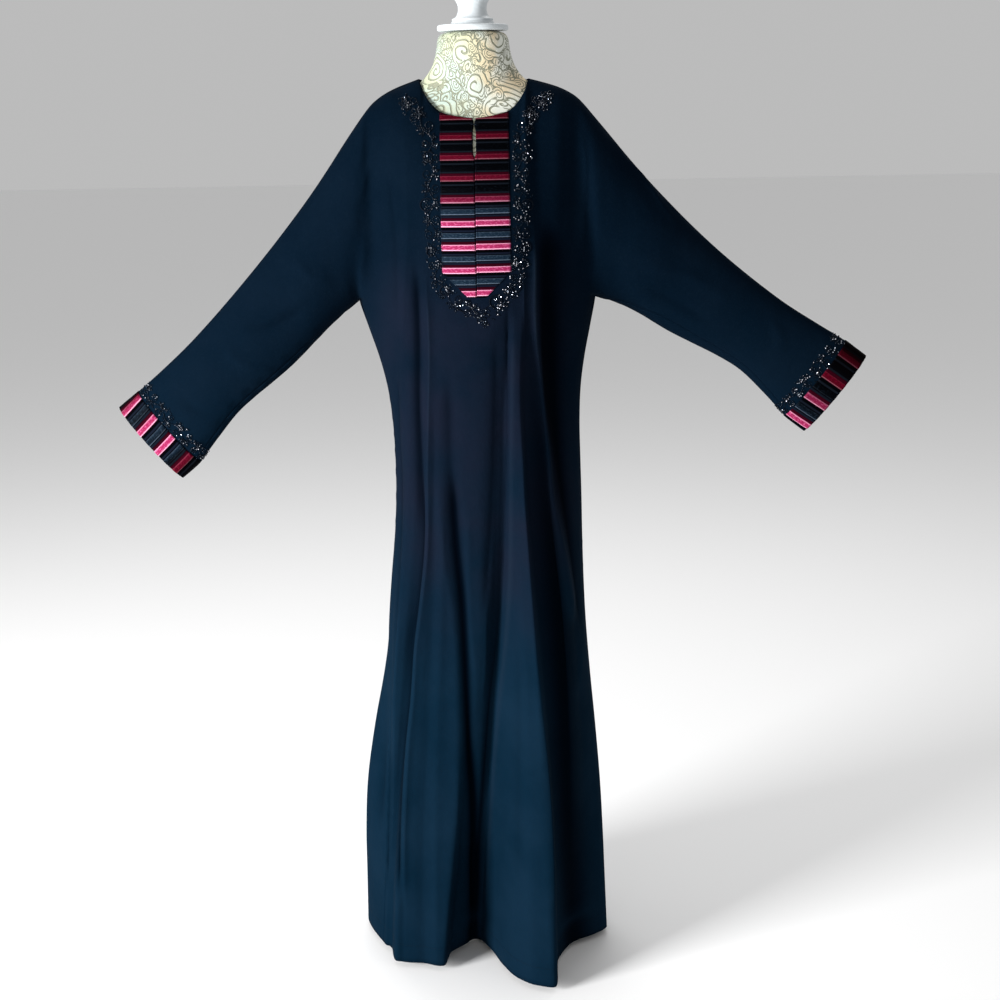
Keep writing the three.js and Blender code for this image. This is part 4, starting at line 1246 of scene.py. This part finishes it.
# Loops of cord: x, z, size, where each starts and how far it turns.
CORD_CURLS = [
    (-0.0755, 1.303, 0.0105, 0.15, 0.80), (-0.0195, 1.149, 0.0100, 0.60, 0.90),
    (0.0290, 1.155, 0.0110, 0.85, -0.88), (0.0800, 1.300, 0.0095, 0.40, -0.75),
    (-0.0720, 1.375, 0.0085, 0.10, 0.72), (0.0790, 1.372, 0.0090, 0.45, -0.70),
    (-0.0500, 1.172, 0.0080, 0.30, 0.75), (0.0600, 1.176, 0.0085, 0.20, -0.75),
    (-0.0700, 1.232, 0.0080, 0.05, 0.75), (0.0770, 1.236, 0.0085, 0.50, -0.72),
]
curl_lines = [
    curl((x, z), 2 * math.pi * start, turns, size, size * 0.8) for x, z, size, start, turns in CORD_CURLS
]
wire("yoke_cords", raised_on_front(curl_lines, CORD_LIFT), CORD_RADIUS, thread_black)


CUFF_VINE_PLACE = 0.0165
CUFF_BAND = 0.026


def cuff_vine(on_left):
    """The vine's lines round a sleeve, just above its cuff."""
    rings = np.array([finer_ring(ring, CUFF_POINTS) for ring in sleeve_rings(on_left, 15, 28)])
    steps = np.linalg.norm(np.diff(rings, axis=0), axis=2).mean(axis=1)
    inward = np.concatenate([[0], np.cumsum(steps)])
    round_length = np.linalg.norm(np.roll(rings[3], -1, axis=0) - rings[3], axis=1).sum()
    across = np.roll(rings, -1, axis=1) - np.roll(rings, 1, axis=1)
    normals = np.cross(np.gradient(rings, axis=0), across)
    normals /= np.linalg.norm(normals, axis=2, keepdims=True)
    if (normals * (rings - rings.mean(axis=1, keepdims=True))).sum() < 0:
        normals = -normals
    laid = []
    for line in vine_lines(round_length, round_length / 8, CUFF_BAND, 11):
        turn = line[:, 0] / round_length * CUFF_POINTS
        place = np.interp(line[:, 1] + CUFF_VINE_PLACE, inward, np.arange(len(rings)))
        low = np.minimum(place.astype(int), len(rings) - 2)
        part = (place - low)[:, None]
        left, side = turn.astype(int) % CUFF_POINTS, (turn % 1)[:, None]
        spot = np.zeros((len(line), 3))
        for ring, ring_share in ((low, 1 - part), (low + 1, part)):
            for column, column_share in ((left, 1 - side), ((left + 1) % CUFF_POINTS, side)):
                spot += rings[ring, column] * ring_share * column_share
        laid.append((spot, normals[low, left]))
    return laid


for on_left, label in ((True, "left"), (False, "right")):
    vine = cuff_vine(on_left)
    threaded(
        f"cuff_{label}_beads", [spot + out * BEAD_LIFT for spot, out in vine], bead_nodes,
        BEAD_RADIUS, BEAD_SPACING, 1.0, 5, jet,
    )
    threaded(
        f"cuff_{label}_stones", [spot + out * STONE_LIFT for spot, out in vine], stone_nodes,
        STONE_RADIUS, STONE_SPACING, CUFF_STONE_SHARE, 9, foil,
    )


# ---- the stitching ----
# Short black stitches of spun thread: round the bib and its slit, along the neckline and the hem.

stitch_nodes = bead_tree(5, 4)
STITCH_RADIUS, STITCH_SPACING, STITCH_STRETCH = 0.00030, 0.0034, 4.5
STITCH_LIFT, STITCH_INSET = 0.0017, 0.0016
bib_edges = []
for side in (-1, 1):
    edge, slit = side * (BIB_HALF_WIDTH - STITCH_INSET), side * 0.0042
    chamfer = abs(edge) - BIB_CHAMFER + STITCH_INSET
    outline = [
        (slit, 1.425), (slit, 1.371), (side * 0.0022, 1.362), (side * 0.0022, BIB_BOTTOM + 0.0018),
        (side * chamfer, BIB_BOTTOM + 0.0018), (edge, BIB_BOTTOM + BIB_CHAMFER), (edge, 1.438),
    ]
    for start, end in zip(outline, outline[1:]):
        steps = max(2, int(np.hypot(end[0] - start[0], end[1] - start[1]) / 0.003))
        bib_edges.append(np.linspace(start, end, steps))
threaded(
    "bib_stitches", raised_on_front(bib_edges, STITCH_LIFT), stitch_nodes, STITCH_RADIUS, STITCH_SPACING,
    1.0, 1, thread_black, STITCH_STRETCH,
)
panel_lines = []
for panel in (front_panel, back_panel):
    first, last = panel.neck
    panel_lines.append([panel.laid[column, 1] for column in range(first + 1, last)])
    first, last = panel.body
    rows = len(panel.columns[first]) - 4
    panel_lines.append([panel.laid[column, rows] for column in range(first + 1, last)])
threaded(
    "hem_stitches", [np.array(line) for line in panel_lines], stitch_nodes, STITCH_RADIUS,
    STITCH_SPACING, 1.0, 1, thread_black, STITCH_STRETCH,
)


# ---- the hook and eye ----
# A small black hook and eye of bent wire at the top of the slit, sewn to the two halves of the bib.

HOOK = [
    (-5.6, 1.3), (-6.4, 0.9), (-6.4, 0.2), (-5.4, -0.2), (-4.2, -0.5), (-1.0, -0.5), (1.9, -0.5), (2.5, 0),
    (1.9, 0.5), (-1.0, 0.5), (-4.2, 0.5),
]
EYE = [
    (5.9, 2.0), (6.6, 1.5), (6.0, 0.9), (4.4, 1.0), (2.0, 1.1), (1.0, 0.6), (0.8, 0), (1.0, -0.6),
    (2.0, -1.1), (4.4, -1.0), (6.0, -0.9), (6.6, -1.5), (5.9, -2.0),
]
HOOK_X, HOOK_Z = 0.0042, 1.4215
HOOK_LIFT, EYE_LIFT = 0.0030, 0.0022
HOOK_WIRE = 0.00042
hook_place, hook_out = on_front(HOOK_X, HOOK_Z)
hook_lines = [
    hook_place + hook_out * lift + np.array([(x / 1000 - HOOK_X, 0, z / 1000) for x, z in shape])
    for shape, lift in ((HOOK, HOOK_LIFT), (EYE, EYE_LIFT))
]
wire("hook_and_eye", hook_lines, HOOK_WIRE, jet)


# ---- the camera, the floor and the light ----
# A camera at shoulder height in front of the garment looks a little down, over a plain pale floor.
# One large soft light stands at the left, in front, and a weak one hangs behind and above.

camera_data = bpy.data.cameras.new("camera")
camera_data.sensor_width = 36
camera_data.lens = 58.6
camera = placed("camera", camera_data)
camera.location = (0.030, -2.680, 1.45)
pitch, roll = math.radians(13.6), math.radians(1.0)
ahead = Vector((0, math.cos(pitch), -math.sin(pitch)))
over = Vector((0, math.sin(pitch), math.cos(pitch)))
right = math.cos(roll) * Vector((1, 0, 0)) - math.sin(roll) * over
above = math.sin(roll) * Vector((1, 0, 0)) + math.cos(roll) * over
turn = np.array([right, above, -ahead]).T
camera.rotation_euler = Matrix(turn.tolist()).to_euler()
scene.camera = camera

FLOOR_REACH = 30
corners = [(x * FLOOR_REACH, y * FLOOR_REACH, 0) for x, y in ((-1, -1), (1, -1), (1, 1), (-1, 1))]
floor_mesh = bpy.data.meshes.new("floor")
floor_mesh.from_pydata(corners, [], [(0, 1, 2, 3)])
floor = placed("floor", floor_mesh)
floor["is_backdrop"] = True
pale = Finish("pale_floor", Base_Color=(0.94, 0.94, 0.94, 1), Roughness=0.95)
floor_mesh.materials.append(pale.material)

world = bpy.data.worlds.new("studio")
world.use_nodes = True
world.node_tree.nodes["Background"].inputs["Color"].default_value = (1, 1, 1, 1)
world.node_tree.nodes["Background"].inputs["Strength"].default_value = 0.5
scene.world = world


def soft_box(name, place, aim, width, power):
    """A square soft light at a place, turned to what it lights."""
    data = bpy.data.lights.new(name, "AREA")
    data.energy, data.size = power, width
    light = placed(name, data)
    light.location = place
    light.rotation_euler = (Vector(aim) - Vector(place)).to_track_quat("-Z", "Y").to_euler()


soft_box("key", (-3.0, -2.2, 1.25), (0, 0, 0.65), 1.2, 280)
soft_box("top", (0.0, 1.6, 3.4), (0, 0.4, 0.8), 2.0, 40)
scene.view_settings.view_transform = "Standard"

size = {"cad": [list(corner) for corner in cad_box], "visual": [list(corner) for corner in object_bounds()]}
